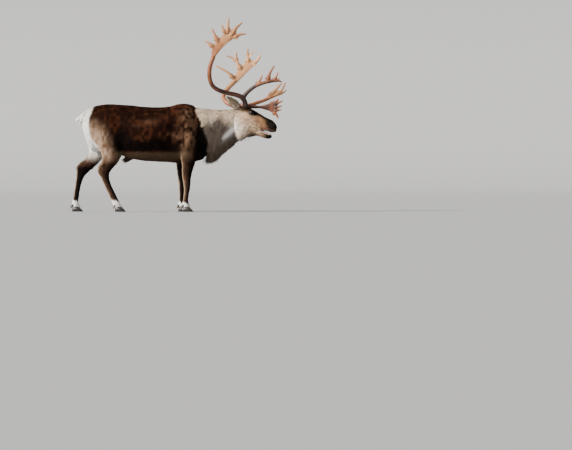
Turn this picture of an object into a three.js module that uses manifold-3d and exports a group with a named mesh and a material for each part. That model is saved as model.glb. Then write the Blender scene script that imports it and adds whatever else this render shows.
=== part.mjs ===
// A life-size model of a bull reindeer, standing with its neck stretched forward and its mouth a little open.
// Millimetres. +X points ahead of the animal, +Y to its left, +Z up; the four feet stand on Z = 0.
// The body is built from ribs: ovals between a top and a bottom point that a smooth skin is drawn over.
import * as THREE from "three";
import { mergeVertices } from "three/addons/utils/BufferGeometryUtils.js";
import Module from "manifold-3d";

const wasm = await Module();
wasm.setup();

// Driving sizes
const GAP = 0.3; // between the faces of two pieces that meet
const SLIVER = 0.5;
const ELBOW_Z = 522; // where a foreleg leaves the chest
const STIFLE_Z = 602; // where a hind leg leaves the flank
const STIFLE_X = -600;
const KNEE_Z = 270;
const HOCK_Z = 420;
const HEAD_PIVOT = [665, 0, 1055]; // the joint of neck and head
const HEAD_TURN = 8; // degrees, muzzle towards the animal's right
const HEAD_ROLL = 12; // degrees, crown towards the animal's left
const EYE_RADIUS = 18;
const EYE = [815, 69, 1074]; // before the head is turned, on the left side
const EAR_LENGTH = 165;
const HOOF_LENGTH = 118;
const HOOF_HEIGHT = 52;
const TOE_SPREAD = 9; // degrees between a toe and straight ahead
const CENTRE_SHIFT = [-6.3, -81.9, 0]; // brings the middle of the bounding box over the origin

const COLOURS = {
  brown: [0x4a3022, 0.9],
  cream: [0xb9a88f, 0.9],
  face: [0x6b503a, 0.9],
  leg: [0x4d3a2c, 0.9],
  white: [0xe6e0d4, 0.9],
  horn: [0x241d19, 0.5],
  antler: [0xa87850, 0.6],
  eye: [0x14100e, 0.1],
  tongue: [0xb08a82, 0.4],
};

const point = (x, y, z) => new THREE.Vector3(x, y, z);
const points = (rows) => rows.map((row) => point(...row));

// Solids

// A closed geometry as a manifold-3d solid. One that was wound inside out is turned round.
function solidOf(geometry) {
  const bare = new THREE.BufferGeometry();
  bare.setAttribute("position", geometry.getAttribute("position").clone());
  bare.setIndex(geometry.index);
  const merged = mergeVertices(bare, 1e-3);
  const triVerts = new Uint32Array(merged.index.array);
  const mesh = () =>
    new wasm.Mesh({
      numProp: 3,
      vertProperties: new Float32Array(merged.attributes.position.array),
      triVerts,
    });
  const made = new wasm.Manifold(mesh());
  if (made.volume() > 0) return made;
  for (let i = 0; i < triVerts.length; i += 3) {
    [triVerts[i + 1], triVerts[i + 2]] = [triVerts[i + 2], triVerts[i + 1]];
  }
  return new wasm.Manifold(mesh());
}

function geometryOf(solid) {
  const { numProp, numVert, vertProperties, triVerts } = solid.getMesh();
  const position = new Float32Array(numVert * 3);
  for (let i = 0; i < numVert; i++) {
    position.set(vertProperties.subarray(i * numProp, i * numProp + 3), i * 3);
  }
  const geometry = new THREE.BufferGeometry();
  geometry.setAttribute("position", new THREE.BufferAttribute(position, 3));
  geometry.setIndex(new THREE.BufferAttribute(new Uint32Array(triVerts), 1));
  return geometry;
}

// The largest closed surface of a solid: it fills sealed hollows and drops loose scraps.
function largest(solid) {
  const bodies = solid.decompose();
  return bodies.reduce((a, b) => (b.volume() > a.volume() ? b : a));
}

// Solids fused into one. Facets left by the fusing that are finer than SLIVER are merged.
const join = (...solids) => wasm.Manifold.union(solids.flat()).asOriginal().simplify(SLIVER);

// The part of a solid on the far side of a plane, half a gap clear of it.
function beyond(solid, through, normal) {
  const n = point(...normal).normalize();
  const offset = n.dot(point(...through)) + GAP / 2;
  return solid.trimByPlane(n.toArray(), offset);
}

const box = (low, high) => {
  const size = high.map((v, i) => v - low[i]);
  const middle = high.map((v, i) => (v + low[i]) / 2);
  return solidOf(new THREE.BoxGeometry(...size).translate(...middle));
};

// Forms

// A table's row as a rib: an oval whose top and bottom lie in the XZ plane at y, "half" wide to each side.
// full is the oval's squareness (2 is an ellipse), and lean makes it wider above (+) or below (-).
const rib = ([topX, topZ, bottomX, bottomZ, y, half, full = 2, lean = 0]) => ({
  top: point(topX, y, topZ),
  bottom: point(bottomX, y, bottomZ),
  shape: point(half, full, lean),
});

// The point at share t along the ribs and at an angle round them, 90 degrees being the top.
function onRibs(curves, t, angle, swell) {
  const top = curves.top.getPoint(t);
  const bottom = curves.bottom.getPoint(t);
  const [half, full, lean] = curves.shape.getPoint(t).toArray();
  const up = top.clone().sub(bottom);
  const rise = up.length() / 2 + swell;
  const round = (v) => Math.sign(v) * Math.abs(v) ** (2 / full);
  const across = round(Math.cos(angle)) * (half + swell) * (1 + lean * Math.sin(angle));
  const centre = top.add(bottom).multiplyScalar(0.5);
  return centre
    .addScaledVector(up.normalize(), rise * round(Math.sin(angle)))
    .add(point(0, across, 0));
}

function ribCurves(table) {
  const ribs = table.map(rib);
  const curve = (key) =>
    new THREE.CatmullRomCurve3(ribs.map((r) => r[key]), false, "centripetal");
  return {
    top: curve("top"),
    bottom: curve("bottom"),
    shape: new THREE.CatmullRomCurve3(ribs.map((r) => r.shape), false, "catmullrom", 0.5),
  };
}

// A closed tube of rings, with a pole at each end. ringPoint(i, angle) gives each ring's points.
function closedRings(count, sides, ringPoint, poles) {
  const position = [];
  for (let i = 0; i < count; i++) {
    for (let j = 0; j < sides; j++) {
      position.push(...ringPoint(i, (j / sides) * 2 * Math.PI).toArray());
    }
  }
  position.push(...poles[0].toArray(), ...poles[1].toArray());
  const first = count * sides;
  const index = [];
  for (let j = 0; j < sides; j++) {
    const k = (j + 1) % sides;
    for (let i = 0; i < count - 1; i++) {
      const [a, b] = [i * sides, (i + 1) * sides];
      index.push(a + j, a + k, b + j, a + k, b + k, b + j);
    }
    index.push(first, k, j, first + 1, (count - 1) * sides + j, (count - 1) * sides + k);
  }
  const geometry = new THREE.BufferGeometry();
  geometry.setAttribute("position", new THREE.Float32BufferAttribute(position, 3));
  geometry.setIndex(index);
  return geometry;
}

// The skin over a table of ribs. swell makes it larger all round, to clear a neighbour.
function ribbed(table, sides, steps, swell = 0) {
  const curves = ribCurves(table);
  const middle = (t) => curves.top.getPoint(t).add(curves.bottom.getPoint(t)).multiplyScalar(0.5);
  const pole = (end, inner) => {
    const out = middle(end).sub(middle(inner)).normalize();
    const dome = 0.3 * curves.shape.getPoint(end).x;
    return middle(end).addScaledVector(out, dome + swell);
  };
  const ringPoint = (i, angle) => onRibs(curves, i / steps, angle, swell);
  const poles = [pole(0, 1 / steps), pole(1, 1 - 1 / steps)];
  return closedRings(steps + 1, sides, ringPoint, poles);
}

// A round branch along points, with a radius at each of them, ending in a blunt tip.
function branch(rows, radii, sides, steps, swell = 0) {
  const path = new THREE.CatmullRomCurve3(points(rows), false, "centripetal");
  const thickness = new THREE.CatmullRomCurve3(radii.map((r, i) => point(i, r, 0)));
  const frames = path.computeFrenetFrames(steps);
  const centres = [];
  for (let i = 0; i <= steps; i++) {
    centres.push(path.getPointAt(i / steps));
  }
  const ringPoint = (i, angle) => {
    const r = thickness.getPoint(path.getUtoTmapping(i / steps)).y + swell;
    return centres[i]
      .clone()
      .addScaledVector(frames.normals[i], r * Math.cos(angle))
      .addScaledVector(frames.binormals[i], r * Math.sin(angle));
  };
  const poles = [
    centres[0].clone().addScaledVector(frames.tangents[0], -swell - 1),
    centres[steps].clone().addScaledVector(frames.tangents[steps], radii.at(-1) + swell),
  ];
  return closedRings(steps + 1, sides, ringPoint, poles);
}

// A lock of hair: a flat blade that starts under the skin, leaves it along "out", bends over
// into the lie of the coat and narrows to a point.
const LOCK_RINGS = [
  [0, 0.7],
  [0.4, 1],
  [0.75, 0.62],
]; // share of the length, share of the width
function lock({ root, out, lie, length, width, thick, sink, rise }) {
  const line = new THREE.QuadraticBezierCurve3(
    root.clone().addScaledVector(out, -sink),
    root.clone().addScaledVector(out, rise).addScaledVector(lie, 0.35 * length),
    root.clone().addScaledVector(lie, length),
  );
  const across = out.clone().cross(lie).normalize();
  const ringPoint = (i, angle) => {
    const [s, w] = LOCK_RINGS[i];
    const flat = across.clone().cross(line.getTangent(s)).normalize();
    return line
      .getPoint(s)
      .addScaledVector(across, Math.cos(angle) * w * (width / 2))
      .addScaledVector(flat, Math.sin(angle) * w * (thick / 2));
  };
  const start = line.getPoint(0).addScaledVector(line.getTangent(0), -2);
  return closedRings(LOCK_RINGS.length, 4, ringPoint, [start, line.getPoint(1)]);
}

// A repeatable draw between -1 and 1
let seed = 7;
function draw() {
  seed = (seed * 16807) % 2147483647;
  return (seed / 2147483647) * 2 - 1;
}

// Locks rooted on a skin of ribs, in rows round it and columns along it.
// row gives each row's angle, the first and last share along it, and how its locks grow.
function locksOn(table, rows) {
  const curves = ribCurves(table);
  const made = [];
  for (const row of rows) {
    for (let k = 0; k < row.count; k++) {
      const share = row.count > 1 ? k / (row.count - 1) : 0;
      const t = row.from + (row.to - row.from) * (share + (0.25 * draw()) / row.count);
      const angle = THREE.MathUtils.degToRad(row.angle + row.scatter * draw());
      const root = onRibs(curves, t, angle, 0);
      const along = onRibs(curves, t + 0.01, angle, 0).sub(root);
      const round = onRibs(curves, t, angle + 0.02, 0).sub(root);
      const out = round.cross(along).normalize();
      const lie = point(...row.lie).add(point(0.12 * draw(), 0.12 * draw(), 0.08 * draw()));
      lie.y *= Math.sign(root.y || 1);
      lie.normalize();
      const length = row.length[0] + (row.length[1] - row.length[0]) * share;
      const size = { root, out, lie, sink: row.sink, rise: row.rise, thick: row.thick };
      size.length = length * (1 + 0.12 * draw());
      size.width = row.width * (1 + 0.15 * draw());
      made.push(solidOf(lock(size)));
    }
  }
  return made;
}

// Trunk

// topX, topZ, bottomX, bottomZ, y, half width, squareness, lean
const TORSO = [
  [-1040, 985, -1030, 900, 0, 45], // the back of the buttocks
  [-1015, 1085, -1005, 790, 0, 120],
  [-965, 1135, -955, 690, 0, 158],
  [-890, 1170, -865, 655, 0, 190, 2.1, 0.08], // hips
  [-780, 1185, -745, 640, 0, 208, 2.2, 0.05],
  [-655, 1185, -625, 620, 0, 215, 2.2, 0], // loin and flank
  [-525, 1175, -505, 580, 0, 232, 2.2, -0.06],
  [-370, 1160, -360, 555, 0, 246, 2.2, -0.1], // belly
  [-215, 1155, -215, 545, 0, 244, 2.2, -0.08],
  [-85, 1165, -85, 541, 0, 226, 2.2, -0.04],
  [25, 1190, 25, 534, 0, 204, 2.1, 0], // withers and girth
  [125, 1185, 145, 538, 0, 182, 2.1, 0],
  [210, 1145, 255, 572, 0, 160],
  [265, 1085, 315, 622, 0, 125],
  [300, 965, 335, 700, 0, 80], // point of the chest, inside the neck
];
const NECK = [
  [225, 1145, 235, 640, 0, 150, 2.1, 0.05],
  [310, 1135, 340, 622, 0, 136, 2.1, 0.2],
  [400, 1125, 430, 640, 0, 122, 2, 0.25],
  [485, 1124, 520, 698, 0, 112, 2, 0.2],
  [575, 1126, 610, 758, 0, 102, 2, 0.1],
  [640, 1132, 675, 812, 0, 96],
  [715, 1122, 735, 838, 0, 84], // inside the head
];
const TAIL = [
  [-895, 1135, -905, 1035, 0, 40],
  [-945, 1128, -955, 1030, 0, 38],
  [-1000, 1106, -1000, 1036, 0, 34],
  [-1045, 1078, -1042, 1030, 0, 27],
  [-1078, 1050, -1074, 1016, 0, 16],
];
const SHEATH = [
  [-470, 640, -480, 570, 0, 60],
  [-520, 640, -535, 560, 0, 44],
  [-565, 620, -580, 568, 0, 26],
  [-590, 600, -595, 582, 0, 9],
]; // the low fold at the back of the belly

// Limbs, from the shoulder or hip down: front and back edge in side view instead of top and bottom
const FORELEG_RIGHT = [
  [104, 1130, 0, 1130, -64, 42], // shoulder blade
  [166, 1035, 4, 1030, -112, 56],
  [214, 915, 20, 912, -134, 66],
  [212, 785, 20, 770, -140, 66],
  [205, 655, 30, 635, -134, 60],
  [195, 535, 44, 530, -124, 47],
  [170, 450, 46, 445, -120, 39],
  [155, 370, 50, 370, -118, 32],
  [147, 295, 63, 298, -117, 31],
  [143, 250, 68, 250, -117, 31], // knee
  [129, 190, 66, 185, -117, 24],
  [124, 125, 57, 120, -117, 24],
  [131, 78, 50, 72, -117, 29], // fetlock
  [136, 45, 62, 38, -117, 27],
  [138, 30, 72, 26, -117, 20], // inside the hoof
];
const FORELEG_LEFT = [
  [84, 1130, -20, 1130, 64, 42], // shoulder blade
  [136, 1035, -26, 1030, 112, 56],
  [176, 915, -18, 912, 134, 66],
  [172, 785, -20, 770, 140, 66],
  [155, 655, -24, 635, 134, 60],
  [125, 535, -20, 530, 124, 46],
  [104, 450, -14, 445, 120, 38],
  [90, 370, -6, 370, 118, 32],
  [84, 290, 4, 290, 117, 31],
  [78, 245, 7, 245, 117, 31], // knee
  [69, 190, 9, 187, 117, 24],
  [68, 130, 6, 126, 117, 24],
  [76, 78, -2, 72, 117, 29], // fetlock
  [82, 45, 8, 38, 117, 27],
  [84, 30, 18, 26, 117, 20],
];
const HIND_LEG_RIGHT = [
  [-720, 1130, -930, 1110, -70, 50], // hip
  [-662, 1010, -985, 1000, -116, 72],
  [-600, 880, -1003, 880, -127, 88],
  [-556, 745, -915, 755, -130, 82],
  [-596, 640, -840, 655, -130, 64],
  [-655, 545, -830, 575, -130, 50],
  [-715, 465, -872, 492, -130, 39],
  [-742, 415, -879, 446, -130, 36], // point of the hock
  [-742, 365, -842, 378, -130, 33],
  [-722, 300, -812, 305, -130, 27],
  [-690, 230, -775, 228, -130, 26],
  [-652, 150, -737, 145, -130, 26],
  [-622, 88, -708, 80, -130, 30], // fetlock
  [-602, 48, -684, 40, -130, 27],
  [-596, 32, -664, 28, -130, 20],
];
const HIND_LEG_LEFT = [
  [-740, 1130, -940, 1110, 70, 50], // hip
  [-690, 1010, -1003, 1000, 116, 72],
  [-672, 880, -1025, 880, 127, 88],
  [-725, 745, -995, 745, 130, 80],
  [-785, 655, -985, 665, 130, 64],
  [-850, 570, -1015, 600, 130, 48],
  [-915, 500, -1072, 548, 130, 40],
  [-972, 450, -1118, 500, 130, 36], // point of the hock
  [-1018, 405, -1122, 440, 130, 33],
  [-1050, 345, -1130, 362, 130, 28],
  [-1073, 265, -1142, 275, 130, 26],
  [-1088, 180, -1156, 182, 130, 26],
  [-1096, 112, -1172, 105, 130, 30], // fetlock
  [-1086, 60, -1166, 48, 130, 27],
  [-1078, 34, -1150, 28, 130, 20],
];
const LEG_SIDES = 12;
const LEG_STEPS = 19;

// Head, before it is turned: crown and forehead, face, upper lip and nose
const SKULL = [
  [600, 1085, 610, 950, 0, 62],
  [665, 1132, 680, 845, 0, 86],
  [730, 1150, 748, 812, 0, 94, 2.1, 0.05],
  [795, 1138, 808, 816, 0, 92, 2.2, 0.1], // across the eyes
  [860, 1108, 868, 832, 0, 76, 2.2, 0.04],
  [915, 1075, 905, 872, 0, 61, 2.3],
  [968, 1042, 958, 892, 0, 52, 2.4],
  [1018, 1018, 1004, 887, 0, 50, 2.5],
  [1058, 994, 1044, 878, 0, 51, 2.6, -0.05], // nose
  [1088, 962, 1078, 882, 0, 43, 2.5],
  [1101, 932, 1096, 906, 0, 21],
];
const JAW = [
  [862, 912, 850, 834, 0, 46],
  [918, 888, 908, 821, 0, 41],
  [966, 866, 962, 803, 0, 34, 2.3],
  [1008, 848, 1008, 795, 0, 32, 2.4],
  [1034, 839, 1036, 803, 0, 27, 2.3],
  [1046, 828, 1047, 813, 0, 12],
];
const TONGUE = [
  [885, 900, 880, 872, 0, 14],
  [930, 889, 925, 866, 0, 19, 2.3],
  [975, 872, 972, 852, 0, 19, 2.3],
  [1012, 858, 1010, 841, 0, 15],
  [1024, 850, 1022, 842, 0, 6],
];
// The thickened edges of the lips, as lines of points on the right side; the left ones mirror them
const UPPER_LIP = [
  [900, -47, 890],
  [958, -40, 895],
  [1004, -37, 889],
  [1044, -36, 881],
  [1078, -25, 885],
  [1092, 0, 892],
];
const LOWER_LIP = [
  [905, -34, 882],
  [966, -27, 861],
  [1008, -25, 844],
  [1030, -18, 836],
  [1041, 0, 830],
];
const NOSTRIL = [
  [1052, 968, 1050, 958, 0, 5],
  [1066, 972, 1060, 948, 0, 9],
  [1082, 962, 1078, 938, 0, 9],
  [1094, 946, 1092, 938, 0, 5],
];
// An ear along its own X, its hollow facing -Y
const EAR = [
  [0, 17, 0, -17, 0, 17],
  [30, 31, 30, -29, 0, 22],
  [75, 40, 75, -36, 0, 22],
  [115, 32, 115, -28, 0, 17],
  [145, 17, 145, -14, 0, 10],
  [EAR_LENGTH, 4, EAR_LENGTH, -3, 0, 3],
];
const EAR_CUP = [
  [26, 12, 26, -11, -15, 9],
  [48, 26, 48, -24, -15, 16],
  [80, 31, 80, -28, -15, 17],
  [115, 24, 115, -21, -13, 13],
  [148, 6, 148, -5, -9, 6],
];

const headPose = new THREE.Matrix4()
  .makeTranslation(...HEAD_PIVOT)
  .multiply(new THREE.Matrix4().makeRotationZ(THREE.MathUtils.degToRad(-HEAD_TURN)))
  .multiply(new THREE.Matrix4().makeRotationX(THREE.MathUtils.degToRad(-HEAD_ROLL)))
  .multiply(new THREE.Matrix4().makeTranslation(...HEAD_PIVOT.map((v) => -v)));
const inHead = (geometry) => solidOf(geometry.applyMatrix4(headPose));

function skullSolid(swell = 0) {
  return inHead(ribbed(SKULL, 16, 16, swell));
}

// The rims of the lids: a flattened ring that stands round the eyeball.
function lidRing(side) {
  const ring = new THREE.TorusGeometry(EYE_RADIUS, 6, 5, 14);
  ring.scale(1.15, 0.82, 1);
  ring.rotateX(-side * Math.PI * 0.5);
  ring.rotateZ(side * 0.16);
  ring.translate(EYE[0] + 1, side * (EYE[1] + 7), EYE[2]);
  return inHead(ring);
}

function eyeBall(side, swell = 0) {
  const ball = new THREE.SphereGeometry(EYE_RADIUS + swell, 12, 8);
  return inHead(ball.translate(EYE[0], side * EYE[1], EYE[2]));
}

// One lip: a rounded edge that runs from one corner of the mouth round to the other
function lip(rows, radius) {
  const other = rows.slice(0, -1).reverse().map(([x, y, z]) => [x, -y, z]);
  const line = [...rows, ...other];
  const radii = line.map((_, i) => radius * (0.55 + 0.45 * Math.sin((Math.PI * i) / (line.length - 1))));
  return inHead(branch(line, radii, 6, 16));
}

// The hair-covered stump that carries an antler
function pedicle(side, swell = 0) {
  const rows = [
    [740, side * 30, 1090],
    [750, side * 42, 1160],
  ];
  return inHead(branch(rows, [34 + swell, 30 + swell], 10, 2));
}

// The right ear is pricked up and back, and the left one hangs out below its antler.
const EAR_LINES = {
  "-1": { root: [698, -62, 1118], along: [-0.7, -0.3, 0.65], hollow: [-0.5, -0.86, -0.1] },
  1: { root: [700, 72, 1086], along: [-0.5, 0.82, -0.3], hollow: [-0.8, -0.35, 0.2] },
};
function ear(side) {
  const line = EAR_LINES[side];
  const along = point(...line.along).normalize();
  const hollow = point(...line.hollow);
  const edge = along.clone().cross(hollow).normalize();
  hollow.crossVectors(edge, along);
  const stand = new THREE.Matrix4().makeBasis(along, hollow.clone().negate(), edge);
  stand.setPosition(...line.root);
  const shell = inHead(ribbed(EAR, 12, 8).applyMatrix4(stand));
  const cup = inHead(ribbed(EAR_CUP, 8, 7).applyMatrix4(stand));
  return shell.subtract(cup);
}

// Antlers, in place: x, y, z of the branch lines; each list ends at the tip
const RIGHT_BEAM = [
  [746, -32, 1138],
  [745, -38, 1178],
  [728, -52, 1230],
  [694, -70, 1264],
  [640, -88, 1284],
  [530, -130, 1308],
  [445, -178, 1337],
  [390, -222, 1378],
  [360, -262, 1450],
  [354, -285, 1525],
  [366, -294, 1605],
  [398, -292, 1690],
];
const LEFT_BEAM = [
  [760, 52, 1123],
  [754, 63, 1158],
  [706, 88, 1166],
  [630, 120, 1170],
  [570, 155, 1185],
  [520, 200, 1220],
  [497, 245, 1265],
  [515, 292, 1320],
  [570, 345, 1390],
  [622, 388, 1452],
];
const BEAM_RADII = [24, 23, 24, 22, 21, 21, 20, 20, 20, 20];
const BURR = 9; // how far the burr stands out of the beam's foot

// Palms: back edge and front edge in side view, in the plane of the tines
const RIGHT_PALM = [
  [352, 1590, 388, 1590, -294, 18],
  [358, 1640, 398, 1640, -292, 16],
  [372, 1715, 430, 1705, -286, 12],
  [384, 1795, 484, 1775, -278, 9],
  [430, 1868, 544, 1835, -268, 8],
  [482, 1925, 602, 1880, -256, 7],
  [535, 1970, 650, 1915, -248, 5],
];
const LEFT_PALM = [
  [528, 1370, 560, 1345, 330, 17],
  [568, 1420, 606, 1388, 358, 15],
  [590, 1465, 652, 1432, 382, 11],
  [638, 1540, 730, 1510, 420, 9],
  [684, 1600, 796, 1580, 446, 8],
  [726, 1650, 838, 1622, 460, 7],
  [750, 1692, 862, 1655, 468, 5],
];
const BEZ_RIGHT = [
  [716, -54, 1244],
  [748, -62, 1290],
  [800, -76, 1340],
  [860, -90, 1380],
  [920, -100, 1405],
  [985, -107, 1422],
  [1050, -107, 1434],
  [1105, -102, 1436],
  [1142, -96, 1427],
];
const BEZ_LEFT = [
  [746, 68, 1160],
  [795, 88, 1174],
  [865, 118, 1198],
  [950, 146, 1228],
  [1020, 162, 1258],
  [1085, 172, 1288],
  [1135, 177, 1312],
];
// Plates that widen a tine into a small palm: upper and lower edge in side view
const BEZ_RIGHT_WEB = [
  [846, 1388, 858, 1362, -88, 13],
  [905, 1422, 915, 1384, -98, 11],
  [985, 1446, 985, 1404, -106, 10],
  [1050, 1458, 1055, 1418, -107, 8],
  [1112, 1450, 1112, 1424, -102, 6],
];
const BEZ_LEFT_WEB = [
  [935, 1240, 950, 1212, 144, 12],
  [1000, 1280, 1015, 1238, 160, 11],
  [1070, 1318, 1080, 1266, 170, 10],
  [1125, 1340, 1140, 1292, 176, 7],
];
const BROW_RIGHT = [
  [748, -36, 1152],
  [790, -28, 1162],
  [855, -32, 1156],
  [935, -44, 1148],
];
const BROW_RIGHT_WEB = [
  [905, 1160, 905, 1138, -40, 13],
  [950, 1167, 950, 1132, -48, 11],
  [1000, 1188, 998, 1110, -55, 10],
  [1046, 1210, 1040, 1086, -61, 8],
  [1086, 1206, 1076, 1074, -66, 6],
];
const BROW_LEFT = [
  [756, 54, 1138],
  [800, 48, 1150],
  [865, 34, 1150],
  [930, 16, 1150],
];
const BROW_LEFT_WEB = [
  [900, 1164, 900, 1138, 24, 12],
  [960, 1180, 960, 1120, 10, 10],
  [1020, 1196, 1020, 1104, -2, 8],
  [1060, 1188, 1058, 1108, -8, 6],
];

// Tines: their lines and the radius at the root, each narrowing to its tip
const TIP_RADIUS = 6;
function tine(rows, radius) {
  const steps = rows.length > 2 ? 4 : 3;
  const radii = rows.map((_, i) => radius + ((TIP_RADIUS - radius) * i) / (rows.length - 1));
  return solidOf(branch(rows, radii, 5, steps));
}
const RIGHT_PALM_TINES = [
  [[[400, -284, 1790], [345, -286, 1846], [306, -284, 1862]], 15],
  [[[448, -276, 1858], [412, -276, 1930], [387, -268, 1996]], 18],
  [[[522, -264, 1950], [500, -262, 2008], [487, -252, 2046]], 14],
  [[[556, -258, 1950], [556, -256, 2035], [566, -240, 2118]], 18],
  [[[590, -256, 1925], [648, -248, 2012], [712, -230, 2070]], 18],
  [[[612, -252, 1900], [682, -245, 1936], [754, -232, 1946]], 17],
];
const LEFT_PALM_TINES = [
  [[[606, 370, 1470], [556, 364, 1533], [417, 352, 1614]], 17],
  [[[694, 430, 1566], [657, 436, 1640], [640, 440, 1688]], 21],
  [[[642, 438, 1662], [640, 440, 1718], [642, 432, 1770]], 14],
  [[[648, 438, 1656], [598, 442, 1702], [526, 432, 1730]], 14],
  [[[774, 462, 1646], [769, 468, 1702], [768, 466, 1738]], 22],
  [[[768, 466, 1712], [764, 468, 1766], [768, 460, 1814]], 14],
  [[[776, 466, 1708], [808, 468, 1752], [832, 458, 1793]], 14],
  [[[806, 464, 1628], [864, 466, 1672], [909, 456, 1738]], 21],
];
const BEZ_RIGHT_TINES = [
  [[[866, -90, 1378], [904, -96, 1440], [933, -94, 1500]], 16],
  [[[982, -106, 1418], [1012, -108, 1515], [1062, -100, 1604]], 17],
  [[[1056, -106, 1432], [1084, -104, 1484], [1105, -98, 1534]], 14],
  [[[1090, -103, 1434], [1108, -100, 1452], [1121, -96, 1472]], 10],
];
const BEZ_LEFT_TINES = [
  [[[985, 156, 1250], [1075, 168, 1340], [1146, 162, 1422]], 16],
  [[[1058, 166, 1322], [1088, 172, 1370], [1106, 176, 1408]], 11],
  [[[1078, 171, 1288], [1142, 174, 1340], [1184, 168, 1422]], 16],
  [[[1110, 174, 1302], [1166, 182, 1318], [1196, 186, 1346]], 12],
];
const BROW_RIGHT_TINES = [
  [[[1050, -60, 1184], [1088, -66, 1214], [1112, -70, 1238]], 15],
  [[[1055, -61, 1176], [1110, -70, 1196], [1153, -74, 1217]], 14],
  [[[1050, -62, 1144], [1108, -72, 1150], [1147, -78, 1162]], 13],
  [[[1050, -62, 1112], [1100, -70, 1112], [1136, -74, 1121]], 13],
  [[[1042, -60, 1098], [1086, -68, 1066], [1106, -70, 1027]], 15],
];
const BROW_LEFT_TINES = [
  [[[1005, 2, 1172], [1060, -4, 1208], [1110, -4, 1235]], 14],
  [[[1020, -2, 1130], [1085, -14, 1118], [1140, -20, 1120]], 14],
];
const web = (table, steps = 6) => solidOf(ribbed(table, 8, steps));
const tines = (list) => list.map(([rows, radius]) => tine(rows, radius));

// A beam with its burr, the rough collar that sits on the pedicle
function beam(rows, swell = 0) {
  const shaft = solidOf(branch(rows, BEAM_RADII.map((r) => r + swell), 9, 22));
  const foot = point(...rows[1]);
  const rise = foot.clone().sub(point(...rows[0])).normalize();
  const low = foot.clone().addScaledVector(rise, -14);
  const high = foot.clone().addScaledVector(rise, 2);
  const ring = [low.toArray(), foot.clone().addScaledVector(rise, -6).toArray(), high.toArray()];
  const radii = [0, BURR, 0].map((extra) => BEAM_RADII[1] + extra + swell);
  const collar = branch(ring, radii, 12, 4, swell);
  return join(shaft, solidOf(collar));
}

// Feet

// One toe of a hoof, along its own X from heel to tip, its sole at Z = 0
const TOE = [
  [-44, 40, -42, -6, 0, 17],
  [-24, HOOF_HEIGHT, -26, -8, 0, 25, 2.4],
  [16, HOOF_HEIGHT + 4, 8, -8, 2, 27, 2.5],
  [44, 38, 42, -8, 4, 23, 2.5],
  [62, 20, 61, -6, 2, 15],
  [70, 8, 69, -2, 0, 7],
];
const DEWCLAW = [
  [4, 18, 2, -6, 0, 10],
  [-10, 12, -12, -16, 0, 12],
  [-20, -6, -20, -26, 0, 9],
  [-23, -22, -22, -30, 0, 4],
]; // along its own X, pointing back and down
const DEWCLAW_Z = 62;
const floorBlock = box([-1500, -600, -60], [1500, 600, 0]);

function foot(name, legTable, side, flesh) {
  const ankle = legTable.at(-2);
  const heel = ankle[2];
  const centre = [(ankle[0] + heel) / 2 - 2, ankle[4]];
  const pieces = [];
  for (const [word, inner] of [
    ["inner_toe", -side],
    ["outer_toe", side],
  ]) {
    const toe = ribbed(TOE, 9, 6);
    toe.scale(HOOF_LENGTH / 118, inner, 1);
    toe.rotateZ(THREE.MathUtils.degToRad(TOE_SPREAD * inner));
    toe.translate(centre[0] + 6, centre[1] + inner * 30, 0);
    const solid = solidOf(toe).subtract(floorBlock).subtract(flesh);
    pieces.push([`${name}_${word}`, solid]);
  }
  for (const [word, inner] of [
    ["inner_dewclaw", -side],
    ["outer_dewclaw", side],
  ]) {
    const claw = ribbed(DEWCLAW, 6, 3);
    claw.rotateZ(-inner * 0.35);
    claw.translate(heel + 2, centre[1] + inner * 19, DEWCLAW_Z);
    pieces.push([`${name}_${word}`, solidOf(claw).subtract(flesh)]);
  }
  return pieces;
}

// Assembly

const colourOf = (name) => {
  const [hex, roughness] = COLOURS[name];
  return new THREE.MeshStandardMaterial({ color: hex, roughness, metalness: 0 });
};

// A mesh at its own joint, inside a group that may stand at a joint of its own.
function place(parent, name, solid, colour, pivot = [0, 0, 0]) {
  const origin = new THREE.Vector3();
  parent.updateWorldMatrix(true, false);
  origin.setFromMatrixPosition(parent.matrixWorld);
  const geometry = geometryOf(largest(solid).asOriginal().simplify(0.03)).translate(...pivot.map((v) => -v));
  const mesh = new THREE.Mesh(geometry, colourOf(colour));
  mesh.name = name;
  mesh.position.set(...pivot).sub(origin).add(centreShift);
  parent.add(mesh);
}

const centreShift = point(...CENTRE_SHIFT);
const reindeer = new THREE.Group();
const groupAt = (parent, [x, y, z]) => {
  const group = new THREE.Group();
  parent.updateWorldMatrix(true, false);
  group.position.set(x, y, z).add(centreShift);
  group.position.sub(new THREE.Vector3().setFromMatrixPosition(parent.matrixWorld));
  parent.add(group);
  return group;
};

// The flesh in one piece, then parted with thin cuts
const legs = {
  foreleg_right: [FORELEG_RIGHT, -1],
  foreleg_left: [FORELEG_LEFT, 1],
  hindleg_right: [HIND_LEG_RIGHT, -1],
  hindleg_left: [HIND_LEG_LEFT, 1],
};
const limb = ([table]) => solidOf(ribbed(table, LEG_SIDES, LEG_STEPS));
const trunk = join(
  solidOf(ribbed(TORSO, 20, 18)),
  solidOf(ribbed(SHEATH, 8, 4)),
  ...Object.values(legs).map(limb),
);

const NECK_FOOT = [272, 0, 870]; // the cut between chest and neck
const NECK_FOOT_LINE = [1, 0, 0.17];
const THROAT = [690, 0, 960]; // the cut between neck and head
const THROAT_LINE = [1, 0, -0.12];
const TAIL_ROOT = [-958, 0, 1080];
const TAIL_LINE = [-1, 0, -0.1];
const reverse = (v) => v.map((a) => -a);

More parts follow.
